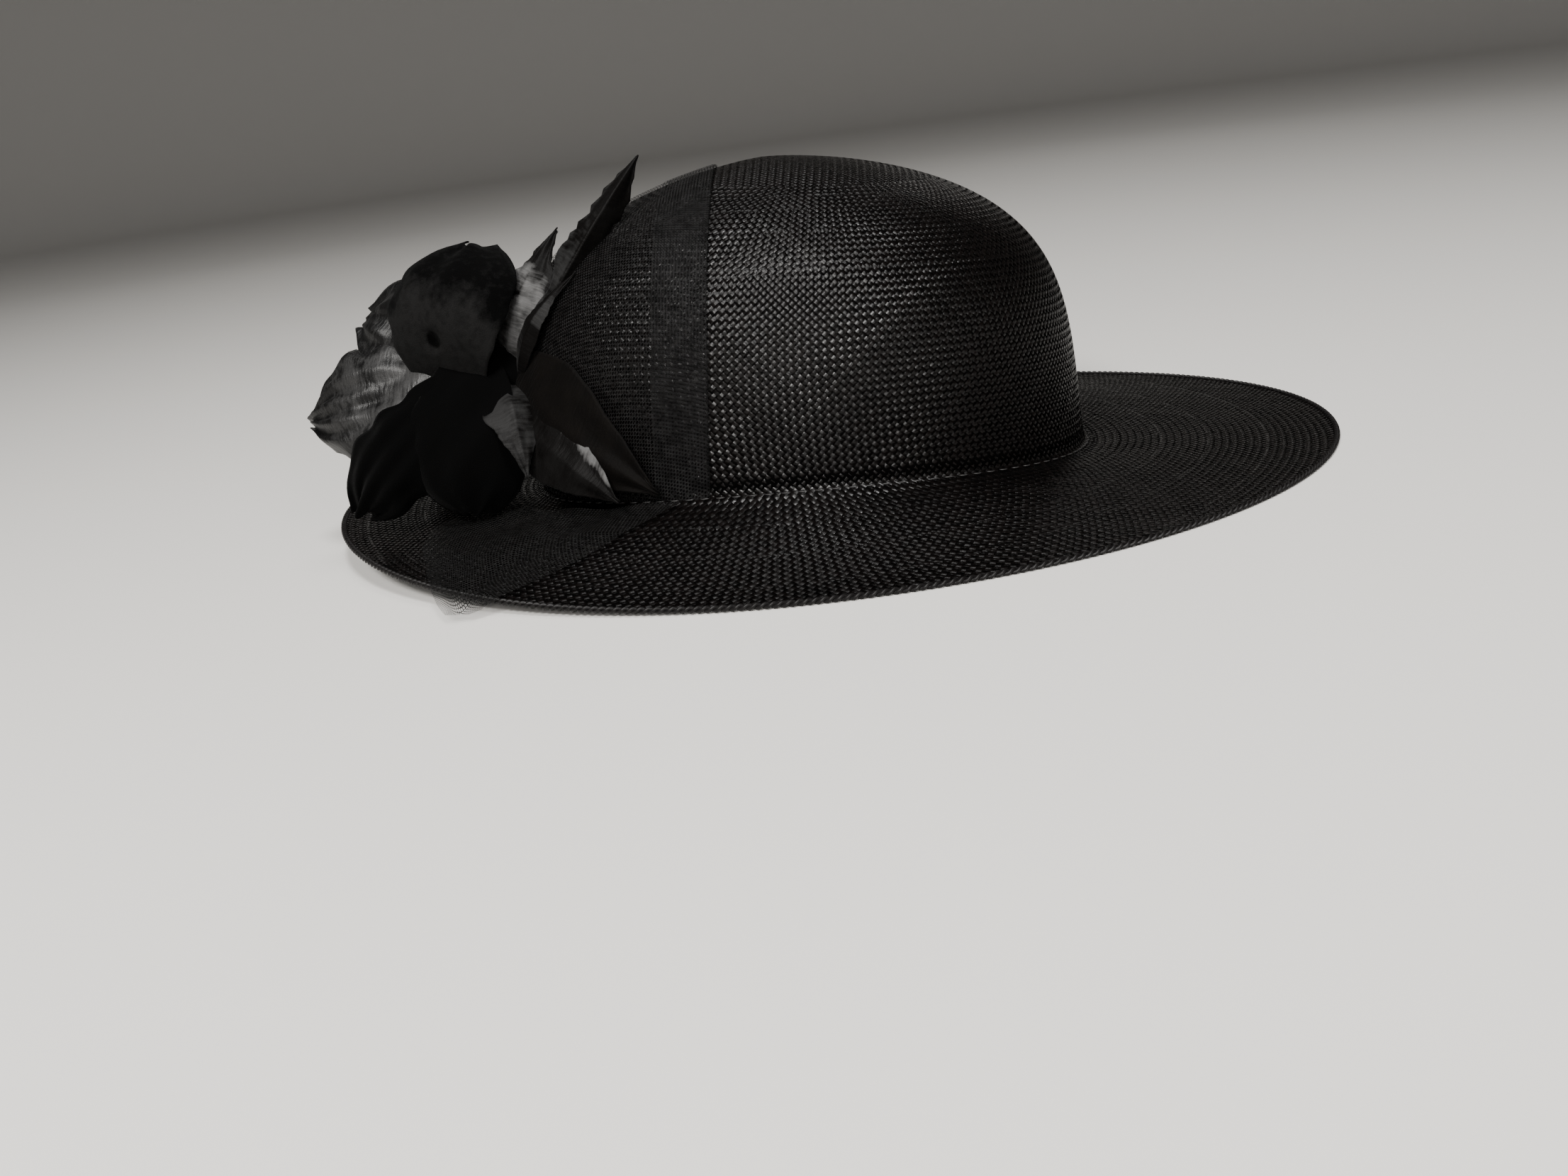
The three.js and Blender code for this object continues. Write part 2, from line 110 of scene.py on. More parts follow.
class Sock:
    """One socket of a material's nodes. Arithmetic on it adds Math nodes."""

    def __init__(self, finish, socket):
        self.finish = finish
        self.socket = socket

    def math(self, operation, *others):
        return self.finish.node("ShaderNodeMath", {"operation": operation}, dict(enumerate((self, *others))))

    def reflected(self, operation, other):
        return self.finish.node("ShaderNodeMath", {"operation": operation}, {0: other, 1: self})

    def __add__(self, other):
        return self.math("ADD", other)

    def __mul__(self, other):
        return self.math("MULTIPLY", other)

    def __sub__(self, other):
        return self.math("SUBTRACT", other)

    def __rsub__(self, other):
        return self.reflected("SUBTRACT", other)

    def __truediv__(self, other):
        return self.math("DIVIDE", other)

    def __rtruediv__(self, other):
        return self.reflected("DIVIDE", other)

    def __mod__(self, other):
        return self.math("FLOORED_MODULO", other)

    def __rmod__(self, other):
        return self.reflected("FLOORED_MODULO", other)

    def __abs__(self):
        return self.math("ABSOLUTE")

    __radd__ = __add__
    __rmul__ = __mul__


class Finish:
    """A material with one Principled surface. Every other node comes from node()."""

    def __init__(self, name, surface):
        self.material = bpy.data.materials.new(name)
        self.material.use_nodes = True
        self.tree = self.material.node_tree
        self.surface = self.tree.nodes["Principled BSDF"]
        self.put(self.surface, surface)

    def put(self, node, inputs):
        for name, value in inputs.items():
            if isinstance(value, Sock):
                self.tree.links.new(value.socket, node.inputs[name])
            else:
                node.inputs[name].default_value = value

    def node(self, kind, settings, inputs, output=0):
        node = self.tree.nodes.new(kind)
        for name, value in settings.items():
            setattr(node, name, value)
        self.put(node, inputs)
        return Sock(self, node.outputs[output])

    def attribute(self, name):
        return self.node("ShaderNodeAttribute", {"attribute_name": name}, {}, "Fac")

    def vector(self, x, y, z=0.0):
        return self.node("ShaderNodeCombineXYZ", {}, {0: x, 1: y, 2: z})

    def place(self):
        return self.node("ShaderNodeTexCoord", {}, {}, "Object")

    def noise(self, vector, scale, detail):
        return self.node("ShaderNodeTexNoise", {}, {"Vector": vector, "Scale": scale, "Detail": detail})

    def blend(self, share, low, high):
        colours = {"Factor": share, 6: (*low, 1), 7: (*high, 1)}
        return self.node("ShaderNodeMix", {"data_type": "RGBA"}, colours, 2)

    def bump(self, height, strength, distance):
        return self.node("ShaderNodeBump", {}, {"Height": height, "Strength": strength, "Distance": distance})


def seam_height(angle):
    return SEAM_HEIGHT - SEAM_FRONT_DIP * np.cos(angle) - SEAM_END_DIP * np.cos(2 * angle)


def crown_share(climb):
    return np.maximum(0, 1 - climb ** CROWN_SIDE_POWER) ** (1 / CROWN_TOP_POWER)


def crown_point(climb, angle, offset):
    foot = seam_height(angle) + CROWN_FOOT
    z = foot + (SEAM_HEIGHT + CROWN_HEIGHT + offset - foot) * climb
    x = CROWN_SHIFT + CROWN_LEAN * (z - SEAM_HEIGHT)
    x = x + (CROWN_LENGTH / 2 + offset) * crown_share(climb) * np.cos(angle)
    y = (CROWN_WIDTH / 2 + offset) * crown_share(climb) * np.sin(angle)
    return np.stack([x, y, z], -1)


crown_climbs = np.sin(np.linspace(0, 1, CROWN_SAMPLES) * math.pi / 2)
crown_radii = CROWN_RADIUS * crown_share(crown_climbs)
crown_steps = np.hypot(np.diff(crown_radii), np.diff(CROWN_HEIGHT * crown_climbs))
crown_run = np.concatenate([[0], np.cumsum(crown_steps)])

turn_angles = np.linspace(-math.pi, math.pi, SEAM_SAMPLES)
turn_points = np.stack([CROWN_LENGTH / 2 * np.cos(turn_angles), CROWN_WIDTH / 2 * np.sin(turn_angles)], 1)
turn_steps = np.linalg.norm(np.diff(turn_points, axis=0), axis=1)
turn_shares = np.concatenate([[0], np.cumsum(turn_steps)]) / turn_steps.sum()


def seam_angle(turn):
    """The angle at a share of the way round the seam."""
    return np.interp(turn % 1, turn_shares, turn_angles)


class Strands:
    """Collects straw strands, flat on top with a keel below, in the two slanting sets of a weave."""

    def __init__(self, seed):
        self.random = np.random.default_rng(seed)
        self.sets = ([], [])

    def add(self, which, line, start, stop, wide, surface):
        """One strand on line number line of a set, from start to stop, counted in crossings."""
        first = math.ceil(start / STRAND_STEP + STRAND_END_GAP)
        last = math.floor(stop / STRAND_STEP - STRAND_END_GAP)
        along = np.concatenate([[start], np.arange(first, last + 1) * STRAND_STEP, [stop]])
        sign = 1 if which == 0 else -1
        wave = sign * STRAW_WAVE * np.cos(math.pi * (along + line))
        wave = wave * self.random.uniform(*WAVE_SPREAD, len(along))
        ends = np.minimum(along - start, stop - along)
        wave = wave - STRAW_TUCK * np.clip(1 - ends / TUCK_RUN, 0, 1)
        half = wide * self.random.uniform(*WIDTH_SPREAD)
        roll = self.random.uniform(-STRAW_ROLL, STRAW_ROLL)
        middle = line + self.random.uniform(-LINE_SPREAD, LINE_SPREAD)
        corners = ((-half, STRAW_TOP - roll), (half, STRAW_TOP + roll), (0, STRAW_KEEL))
        rows = [surface(which, middle + side, along, wave + up) for side, up in corners]
        self.sets[which].append((np.stack(rows, 1), along + line + which, self.random.uniform(0, 1)))

    def piece(self, which, name, finish):
        points, faces, tones, sides, lengths = [], [], [], [], []
        first = 0
        for rows, along, tone in self.sets[which]:
            count = len(rows)
            here = first + 3 * np.arange(count - 1)[:, None]
            for corner in range(3):
                after = (corner + 1) % 3
                quad = np.concatenate([here + corner, here + after, here + 3 + after, here + 3 + corner], 1)
                faces.extend(quad.tolist())
            last = first + 3 * (count - 1)
            faces.extend([[first + 2, first + 1, first], [last, last + 1, last + 2]])
            points.append(rows.reshape(-1, 3))
            tones.append(np.full(3 * count, tone))
            sides.append(np.tile([-1.0, 1.0, 0.0], count))
            lengths.append(np.repeat(along, 3))
            first += 3 * count
        piece = mesh_piece(name, np.concatenate(points), faces, finish)
        bpy.ops.object.shade_smooth_by_angle(angle=math.radians(FLAT_EDGE))
        for label, lists in (("tone", tones), ("side", sides), ("along", lengths)):
            layer = piece.data.attributes.new(label, "FLOAT", "POINT")
            layer.data.foreach_set("value", np.concatenate(lists).astype(np.float32))
        return piece


def mesh_piece(name, points, faces, finish):
    """A smooth mesh with its faces turned outwards, left selected."""
    mesh = bpy.data.meshes.new(name)
    placed = points * MM + np.array([MIDDLE_X, 0, 0])
    mesh.from_pydata(placed.tolist(), [], faces)
    piece = bpy.data.objects.new(name, mesh)
    bpy.context.scene.collection.objects.link(piece)
    mesh.materials.append(finish.material)
    bpy.ops.object.select_all(action="DESELECT")
    bpy.context.view_layer.objects.active = piece
    piece.select_set(True)
    bpy.ops.object.mode_set(mode="EDIT")
    bpy.ops.mesh.select_all(action="SELECT")
    bpy.ops.mesh.normals_make_consistent(inside=False)
    bpy.ops.object.mode_set(mode="OBJECT")
    bpy.ops.object.shade_smooth()
    return piece


def ring_weave(strands, around, wide, low, high, surface):
    """Weaves a ring of slanting strands, around of each set, from the rise low to the rise high(turn)."""
    rate = 1 / (math.sqrt(2) * STRAW_PITCH)

    def placed(which, line, along, height):
        first, second = (line, along) if which == 0 else (along, line)
        return surface((first + second) / (2 * around), (first - second) / (2 * rate), height)

    rises = np.arange(low, low + RING_REACH, RING_STEP)
    for which, sign in ((0, 1), (1, -1)):
        for line in range(around):
            inside = rises < high((line - sign * rate * rises) / around)
            stop = rises[np.argmin(inside)]
            if stop - low > SHORTEST_STRAND:
                ends = sorted((line - sign * 2 * rate * low, line - sign * 2 * rate * stop))
                strands.add(which, line, ends[0], ends[1], wide, placed)


def tip_weave(strands, pitch, wide, radius, surface):
    """Weaves the round square mat at the tip."""
    half = radius / pitch
    turn = math.sqrt(0.5) * pitch

    def placed(which, line, along, height):
        a, b = (line, along) if which == 0 else (along, line)
        return surface(turn * (a - b), turn * (a + b), height)

    for which in (0, 1):
        for line in range(math.ceil(-half + 0.5), math.floor(half - 0.5) + 1):
            reach = math.sqrt(half ** 2 - line ** 2)
            strands.add(which, line, -reach, reach, wide, placed)


def crown_mat(forward, side, height):
    """A point of the dome from its place on the mat round the tip, which lies before the dome's middle."""
    reach = np.minimum(1, np.hypot(forward, side) / crown_run[-1])
    height = height * (1 - TIP_FLATNESS * (1 - reach) ** TIP_EASE)
    forward = forward + TIP_FORWARD * (1 - reach ** 2) ** 2
    climb = np.interp(crown_run[-1] - np.hypot(forward, side), crown_run, crown_climbs)
    return crown_point(climb, np.arctan2(side, forward), height - STRAW / 2)


def crown_ring(turn, rise, height):
    angle = seam_angle(turn)
    flare = FOOT_FLARE * np.clip(1 - rise / FOOT_RISE, 0, 1) ** 2
    reach = crown_run[-1] - rise
    return crown_mat(reach * np.cos(angle), reach * np.sin(angle), height + flare)


def straw_finish(name, rough):
    """Glossy dyed straw: each strand has its own tone, with fine fibres along it."""
    straw = Finish(name, {"Specular IOR Level": STRAW_GLOSS})
    tone, side, along = (straw.attribute(label) for label in ("tone", "side", "along"))
    fibre_place = [value * scale for value, scale in zip((side, along, tone), FIBRE_SCALES)]
    fibre = straw.noise(straw.vector(*fibre_place), scale=1.0, detail=FIBRE_DETAIL)
    brown = tone * BROWN_BY_TONE + fibre * BROWN_BY_FIBRE - BROWN_LESS
    rounded = (along * math.pi).math("COSINE") * FLOAT_SWELL - side * side * STRAND_SWELL
    straw.put(straw.surface, {
        "Base Color": straw.blend(brown, STRAW_BLACK, STRAW_BROWN),
        "Roughness": rough + ROUGH_BY_FIBRE * fibre + ROUGH_BY_TONE * tone,
        "Normal": straw.bump(rounded + fibre * FIBRE_SWELL, strength=1.0, distance=MM),
    })
    return straw


def film_piece(name, surface, rises, finish):
    """A thin film in the middle of a weave: a ring of rows, each at its rise."""
    turns = np.arange(FILM_SIDES) / FILM_SIDES
    even = np.ones(FILM_SIDES)
    rows = len(rises)
    sides = [np.stack([surface(turns, rise * even, depth * even) for rise in rises])
             for depth in (-FILM_DEPTH, -FILM_DEPTH - FILM)]
    index = np.arange(2 * rows * FILM_SIDES).reshape(2, rows, FILM_SIDES)
    loops = [*index[0], *index[1, ::-1], index[0, 0]]
    faces = [np.stack([this, np.roll(this, -1), np.roll(beside, -1), beside], 1)
             for this, beside in zip(loops, loops[1:])]
    return mesh_piece(name, np.concatenate(sides).reshape(-1, 3), np.concatenate(faces).tolist(), finish)


def straw_piece(piece, node):
    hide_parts(node)
    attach(piece, "root")


def strand_count(length):
    """How many strands of one set cross a line of this length."""
    return round(length / (math.sqrt(2) * STRAW_PITCH))


crown_straw = straw_finish("crown_straw", CROWN_ROUGH)
ring_rises = [float(np.interp(-radius, -crown_radii, crown_run)) for radius, _ in CROWN_RINGS]
crown_parts = {"wall": Strands(seed=11), "top": Strands(seed=12)}
for ring, (radius, wide) in enumerate(CROWN_RINGS[:-1]):
    part = crown_parts["wall" if ring == 0 else "top"]
    upper = ring_rises[ring + 1]
    low = ring_rises[ring] - (RING_LAP if ring else 0)
    around = strand_count(2 * math.pi * radius)
    ring_weave(part, around, wide, low, lambda turn: upper + 0 * turn, crown_ring)
tip_radius = crown_run[-1] - ring_rises[-1] + RING_LAP
tip_weave(crown_parts["top"], TIP_PITCH, CROWN_RINGS[-1][1], tip_radius, crown_mat)
# The black film is the sizing, and also painted shade in the gaps between the strands.
sizing_shade = Finish("black_sizing_shade", {
    "Base Color": (*STRAW_BLACK, 1), "Roughness": SIZING_SHADE_ROUGH, "Specular IOR Level": SIZING_SHADE_GLOSS,
})
film_rises = crown_run[-1] * np.sin(np.linspace(0, FILM_REACH, FILM_ROWS + 1) * math.pi / 2)
straw_piece(film_piece("crown_sizing_shade", crown_ring, film_rises, sizing_shade), "crown")
for part, strands in crown_parts.items():
    straw_piece(strands.piece(0, f"crown_{part}_rising", crown_straw), "crown")
    straw_piece(strands.piece(1, f"crown_{part}_falling", crown_straw), "crown")

# Brim: a wide oval ring of the same straw, woven on from the seam in rings that take in more strands.
# It slopes down from the crown and flares out level at its edge, which lifts a little at the back.
BRIM_LENGTH = 382
BRIM_WIDTH = 292
BRIM_FLARE_POWER = 1.65
BACK_LIFT = 10.8
BACK_LIFT_POWER = 2.4
ROLL_WIDTH = 3.2
ROLL_HEIGHT = 2.4
BRIM_RINGS = [-1.0, 13.0, 28.0, 45.0, 66.0, 120.0]
BRIM_EDGE = 2.4
BRIM_STRAW_HALF = 0.37
BRIM_FLATNESS = 0.3
BRIM_ROUGH = 0.18
BRIM_FILM_ROWS = 13
BRIM_FILLET = 0.8
FILLET_RUN = 6.0


def edge_height(angle):
    return ROLL_HEIGHT / 2 + BACK_LIFT * np.maximum(0, -np.cos(angle)) ** BACK_LIFT_POWER


def brim_ray(angle):
    """Where the line of the brim at an angle starts at the seam, and how far it runs to the edge."""
    start = np.stack([CROWN_SHIFT + CROWN_LENGTH / 2 * np.cos(angle), CROWN_WIDTH / 2 * np.sin(angle)], -1)
    edge = np.stack([BRIM_LENGTH / 2 * np.cos(angle), BRIM_WIDTH / 2 * np.sin(angle)], -1)
    return start, edge - start


def brim_point(angle, reach, height):
    start, run = brim_ray(angle)
    flat = start + run * reach[..., None]
    drop = 1 - np.maximum(0, 1 - reach) ** BRIM_FLARE_POWER
    seam = seam_height(angle)
    z = seam + (edge_height(angle) - seam) * drop + height
    return np.concatenate([flat, z[..., None]], -1)


def brim_width(turn):
    angle = seam_angle(turn)
    _, run = brim_ray(angle)
    return np.sqrt((run ** 2).sum(-1) + (seam_height(angle) - edge_height(angle)) ** 2)


def brim_ring(turn, rise, height):
    fillet = BRIM_FILLET * np.clip(1 - rise / FILLET_RUN, 0, 1) ** 2
    return brim_point(seam_angle(turn), rise / brim_width(turn), height * (1 - BRIM_FLATNESS) + fillet)


brim_straw = straw_finish("brim_straw", BRIM_ROUGH)
brim_strands = Strands(seed=13)
for inner, outer in zip(BRIM_RINGS, BRIM_RINGS[1:]):
    middle_line = 2 * math.pi * (CROWN_RADIUS + max(0, inner))
    ring_weave(brim_strands, strand_count(middle_line), BRIM_STRAW_HALF, inner,
               lambda turn: np.minimum(outer + RING_LAP, brim_width(turn) - BRIM_EDGE), brim_ring)


def brim_share(turn, share, height):
    """A point of the brim at a share of its width."""
    return brim_ring(turn, share * (brim_width(turn) - BRIM_EDGE), height)


straw_piece(film_piece("brim_sizing_shade", brim_share, np.linspace(0, 1, BRIM_FILM_ROWS), sizing_shade), "brim")
straw_piece(brim_strands.piece(0, "brim_strands_left", brim_straw), "brim")
straw_piece(brim_strands.piece(1, "brim_strands_right", brim_straw), "brim")

# Rolled edge: two straw strands twisted into a thin rope and sewn along the brim's outer edge.
# The hat rests on it.
EDGE_SAMPLES = 4001
ROPE_TWIST = 5.2
ROPE_STEPS = 8
ROPE_SIDES = 6
ROPE_STRANDS = 2
ROPE_SPIRAL = 0.52
ROPE_STRAND_RADIUS = 0.66
ROLL_GLOSS = 0.15
ROLL_FIBRES = 900.0
ROLL_FIBRE_LIFT = 0.3
ROLL_CONTRAST, ROLL_SHADE = 1.6, 0.5
ROLL_ROUGH = 0.3
ROLL_DARK = (0.003, 0.0026, 0.0026)
ROLL_LIGHT = (0.006, 0.0053, 0.0052)


def roll_line(angle):
    x = (BRIM_LENGTH / 2 - ROLL_WIDTH / 2) * np.cos(angle)
    y = (BRIM_WIDTH / 2 - ROLL_WIDTH / 2) * np.sin(angle)
    return np.stack([x, y, edge_height(angle)], -1)


fine_angles = np.linspace(0, 2 * math.pi, EDGE_SAMPLES)
fine_run = np.concatenate([[0], np.cumsum(np.linalg.norm(np.diff(roll_line(fine_angles), axis=0), axis=1))])
twists = round(fine_run[-1] / ROPE_TWIST)
rope_count = twists * ROPE_STEPS
rope_angles = np.interp(np.arange(rope_count) / rope_count * fine_run[-1], fine_run, fine_angles)
rope_middle = roll_line(rope_angles)
rope_ahead = np.roll(rope_middle, -1, 0) - np.roll(rope_middle, 1, 0)
rope_ahead /= np.linalg.norm(rope_ahead, axis=1)[:, None]
rope_out = np.cross(rope_ahead, [0, 0, 1])
rope_out /= np.linalg.norm(rope_out, axis=1)[:, None]
rope_up = np.cross(rope_out, rope_ahead)
rope_points, rope_faces = [], []
for strand in range(ROPE_STRANDS):
    spin = 2 * math.pi * (np.arange(rope_count) / ROPE_STEPS + strand / ROPE_STRANDS)
    line = rope_middle + ROPE_SPIRAL * (np.cos(spin)[:, None] * rope_out + np.sin(spin)[:, None] * rope_up)
    first = strand * rope_count * ROPE_SIDES
    for side in range(ROPE_SIDES):
        turn = 2 * math.pi * side / ROPE_SIDES
        rope_points.append(line + ROPE_STRAND_RADIUS * (math.cos(turn) * rope_out + math.sin(turn) * rope_up))
        this = first + side * rope_count + np.arange(rope_count)
        beside = first + (side + 1) % ROPE_SIDES * rope_count + np.arange(rope_count)
        rope_faces.extend(np.stack([this, beside, np.roll(beside, -1), np.roll(this, -1)], 1).tolist())
roll_straw = Finish("twisted_straw", {"Specular IOR Level": ROLL_GLOSS})
roll_fibre = roll_straw.noise(roll_straw.place(), ROLL_FIBRES, FIBRE_DETAIL)
roll_straw.put(roll_straw.surface, {
    "Base Color": roll_straw.blend(roll_fibre * ROLL_CONTRAST - ROLL_SHADE, ROLL_DARK, ROLL_LIGHT),
    "Roughness": ROLL_ROUGH + ROLL_ROUGH * roll_fibre,
    "Normal": roll_straw.bump(roll_fibre, strength=0.4, distance=ROLL_FIBRE_LIFT * MM),
})
rope = mesh_piece("rolled_edge", np.concatenate(rope_points), rope_faces, roll_straw)
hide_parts("brim_roll")
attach(rope, "root")

# Seam stitches: short stitches of grey thread that sew the crown's foot down on the brim.
# STITCH_RINGS gives how far along a stitch each ring lies, its share of the radius and how far out it is.
STITCH_LENGTH = 3.2
STITCH_STEP = 5.6
STITCH_RADIUS = 0.2
STITCH_LIFT = 0.9
STITCH_OUT = 2.0
STITCH_SIDES = 5
STITCH_RINGS = ((0.0, 0.25, -0.6), (0.15, 0.9, -0.1), (0.5, 1.0, 0.1), (0.85, 0.9, -0.1), (1.0, 0.25, -0.6))
THREAD = (0.02, 0.019, 0.0187)
THREAD_SHADE = 0.5
THREAD_ROUGH = 0.6
THREAD_TWIST = 2500.0
THREAD_LIFT = 0.2


def foot_line(angle):
    x = CROWN_SHIFT + (CROWN_LENGTH / 2 + STITCH_OUT) * np.cos(angle)
    y = (CROWN_WIDTH / 2 + STITCH_OUT) * np.sin(angle)
    return np.stack([x, y, seam_height(angle) + STITCH_LIFT], -1)


seam_run = np.concatenate([[0], np.cumsum(np.linalg.norm(np.diff(foot_line(fine_angles), axis=0), axis=1))])
stitch_count = round(seam_run[-1] / STITCH_STEP)
stitch_points, stitch_faces = [], []
for stitch in range(stitch_count):
    start = stitch * seam_run[-1] / stitch_count
    base = len(stitch_points) * STITCH_SIDES
    for along, size, out in STITCH_RINGS:
        angle = np.interp(start + along * STITCH_LENGTH, seam_run, fine_angles)
        outward = np.array([math.cos(angle), math.sin(angle), 0.0])
        centre = foot_line(angle) + outward * out
        turns = 2 * math.pi * np.arange(STITCH_SIDES) / STITCH_SIDES
        ring = np.outer(np.cos(turns), outward) + np.outer(np.sin(turns), [0, 0, 1])
        stitch_points.append(centre + ring * STITCH_RADIUS * size)
    for ring in range(len(STITCH_RINGS) - 1):
        for side in range(STITCH_SIDES):
            this = base + ring * STITCH_SIDES + side
            beside = base + ring * STITCH_SIDES + (side + 1) % STITCH_SIDES
            stitch_faces.append([this, beside, beside + STITCH_SIDES, this + STITCH_SIDES])
    last = base + (len(STITCH_RINGS) - 1) * STITCH_SIDES
    stitch_faces.append([base + side for side in range(STITCH_SIDES)])
    stitch_faces.append([last + side for side in range(STITCH_SIDES)])
thread = Finish("seam_thread", {"Roughness": THREAD_ROUGH})
thread_twist = thread.noise(thread.place(), THREAD_TWIST, detail=1.0)
thread.put(thread.surface, {
    "Base Color": thread.blend(thread_twist, tuple(THREAD_SHADE * tone for tone in THREAD), THREAD),
    "Normal": thread.bump(thread_twist, strength=0.5, distance=THREAD_LIFT * MM),
})
stitches = mesh_piece("seam_stitches", np.concatenate(stitch_points), stitch_faces, thread)
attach(stitches, "root")

# Crown net: fine black tulle drawn over the back of the crown, with its front edge folded back as a wide hem.
# It is one sheet that lies close on the straw and is sewn down behind the rose.
NET_GAP = 0.3
NET_EDGE_LOW = -43.5
NET_EDGE_SLOPE = 0.12
NET_LIFT = 0.1
HEM_WIDTH = 19
HEM_LIFT = 0.35
HEM_SHARES = (1.0, 0.8, 0.6, 0.4, 0.2, 0.06)
NET_ROWS = 34
NET_ROWS_POWER = 1.15
NET_REACH = 0.985
NET_ARCH = 48
NET_SAMPLES = 4001
NET_LEAST_HALF = 1e-4
NET_CELL = 1.3
NET_STRAND = 0.09
NET_ROUGH = 0.85
NET_GLOSS = 0.1
NET_MOTTLE = 260.0
NET_CONTRAST = 3
NET_DARK = (0.002, 0.0019, 0.0019)
NET_GREY = (0.009, 0.0088, 0.0088)


def net_angle(climb, behind):
    back = crown_point(climb, np.pi, 0.0)
    front = crown_point(climb, 0.0, 0.0)
    edge = NET_EDGE_LOW + NET_EDGE_SLOPE * back[..., 2] - behind
    middle = (front[..., 0] + back[..., 0]) / 2
    half = np.maximum(NET_LEAST_HALF, (front[..., 0] - back[..., 0]) / 2)
    return np.arccos(np.clip((edge - middle) / half, -1, 1))


def net_top(behind):
    climbs = np.linspace(0, 1, NET_SAMPLES)
    return climbs[np.nonzero(net_angle(climbs, behind) < math.pi)[0].max()]


def net_arch(behind, lift):
    """One arch of the net from the right foot over the top to the left foot, behind its front edge."""
    swing = np.linspace(-1, 1, 2 * NET_ARCH + 1) * math.pi / 2
    climb = net_top(behind) * np.cos(swing)
    angle = net_angle(climb, behind)
    angle[NET_ARCH] = math.pi
    return crown_point(climb, np.where(swing < 0, -angle, angle), lift)


def sheet_piece(name, grid, finish, thickness, rim=None):
    """A cloth sheet through a grid of points, with a map in millimetres along its own threads."""
    rows, columns = grid.shape[:2]
    index = np.arange(rows * columns).reshape(rows, columns)
    faces = np.stack([index[:-1, :-1], index[:-1, 1:], index[1:, 1:], index[1:, :-1]], -1).reshape(-1, 4)
    piece = mesh_piece(name, grid.reshape(-1, 3), faces.tolist(), finish)
    across = np.zeros((rows, columns))
    across[:, 1:] = np.cumsum(np.linalg.norm(np.diff(grid, axis=1), axis=2), axis=1)
    across -= across[:, [columns // 2]]
    along = np.zeros((rows, columns))
    along[1:] = np.cumsum(np.linalg.norm(np.diff(grid, axis=0), axis=2), axis=0)
    maps = {"across": across, "along": along, "rim": np.zeros((rows, columns)) if rim is None else rim}
    for label, values in maps.items():
        layer = piece.data.attributes.new(label, "FLOAT", "POINT")
        layer.data.foreach_set("value", values.ravel().astype(np.float32))
    if thickness:
        solid = piece.modifiers.new("cloth", "SOLIDIFY")
        solid.thickness = thickness * MM
        solid.offset = 0
        bpy.ops.object.modifier_apply(modifier=solid.name)
        bpy.ops.object.shade_smooth()
    return piece


def net_finish(name, strand, dark, grey):
    """Tulle: six-sided meshes of fine thread, open between the threads."""
    net = Finish(name, {"Roughness": NET_ROUGH, "Specular IOR Level": NET_GLOSS})
    x = net.attribute("across") / NET_CELL
    y = net.attribute("along") / NET_CELL
    tall = math.sqrt(3)
    nearest = []
    for shift in (0.0, 0.5):
        gx = (x + shift) % 1.0 - 0.5
        gy = (y + shift * tall) % tall - tall / 2
        nearest.append((gx * gx + gy * gy, abs(gx).math("MAXIMUM", abs(gx) * 0.5 + abs(gy) * (tall / 2))))
    first = nearest[0][0].math("LESS_THAN", nearest[1][0])
    reach = nearest[0][1] * first + nearest[1][1] * (1 - first)
    mottle = net.noise(net.place(), NET_MOTTLE, detail=3.0)
    net.put(net.surface, {
        "Base Color": net.blend(mottle * NET_CONTRAST - (NET_CONTRAST - 1) / 2, dark, grey),
        "Alpha": reach.math("GREATER_THAN", 0.5 - strand),
    })
    return net


tulle = net_finish("black_tulle", NET_STRAND, NET_DARK, NET_GREY)
net_back = crown_point(0.0, np.pi, 0.0)
net_depth = float(NET_EDGE_LOW + NET_EDGE_SLOPE * net_back[2] - net_back[0])
hem_rows = [net_arch(HEM_WIDTH * share, NET_GAP + NET_LIFT + HEM_LIFT) for share in HEM_SHARES]
row_shares = NET_REACH * (np.arange(NET_ROWS + 1) / NET_ROWS) ** NET_ROWS_POWER
body_rows = [net_arch(net_depth * share, NET_GAP + NET_LIFT) for share in row_shares]
crown_net = sheet_piece("crown_net_sheet", np.stack(hem_rows + body_rows), tulle, 0)
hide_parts("crown_net")
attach(crown_net, "root")

# Brim net: the end of the same net, gathered under the rose and laid across the back of the brim.
# It fans out in soft pleats, runs past the brim's edge and hangs down there in a cut corner.
BRIM_NET_SECTIONS = [
    {"right": -114, "right_reach": 0.07, "left": -156, "left_reach": 0.25, "lift": 2.0},
    {"right": -117, "right_reach": 0.14, "left": -157, "left_reach": 0.41, "lift": 0.9},
    {"right": -120.5, "right_reach": 0.29, "left": -156, "left_reach": 0.58, "lift": 0.8},
    {"right": -123, "right_reach": 0.56, "left": -149, "left_reach": 0.73, "lift": 0.8},
    {"right": -124.5, "right_reach": 0.75, "left": -142, "left_reach": 0.85, "lift": 0.9},
    {"right": -125, "right_reach": 0.90, "left": -138, "left_reach": 0.94, "lift": 1.2},
    {"right": -125.5, "right_reach": 1.00, "left": -135, "left_reach": 1.02, "lift": 0.9},
    {"right": -126.5, "right_reach": 1.07, "left": -131.5, "left_reach": 1.11, "lift": -2.2},
    {"right": -127, "right_reach": 1.12, "left": -129, "left_reach": 1.17, "lift": -2.9},
]
BRIM_NET_PLEATS = 3
BRIM_NET_PLEAT_HEIGHT = 0.5
BRIM_NET_ROWS = 48
BRIM_NET_COLUMNS = 72
NET_HALF = 0.5
GATHERED_STRAND = 0.115
GATHERED_DARK = (0.0015, 0.00145, 0.0014)
GATHERED_GREY = (0.0055, 0.0054, 0.0053)
FLOOR_GAP = 0.3

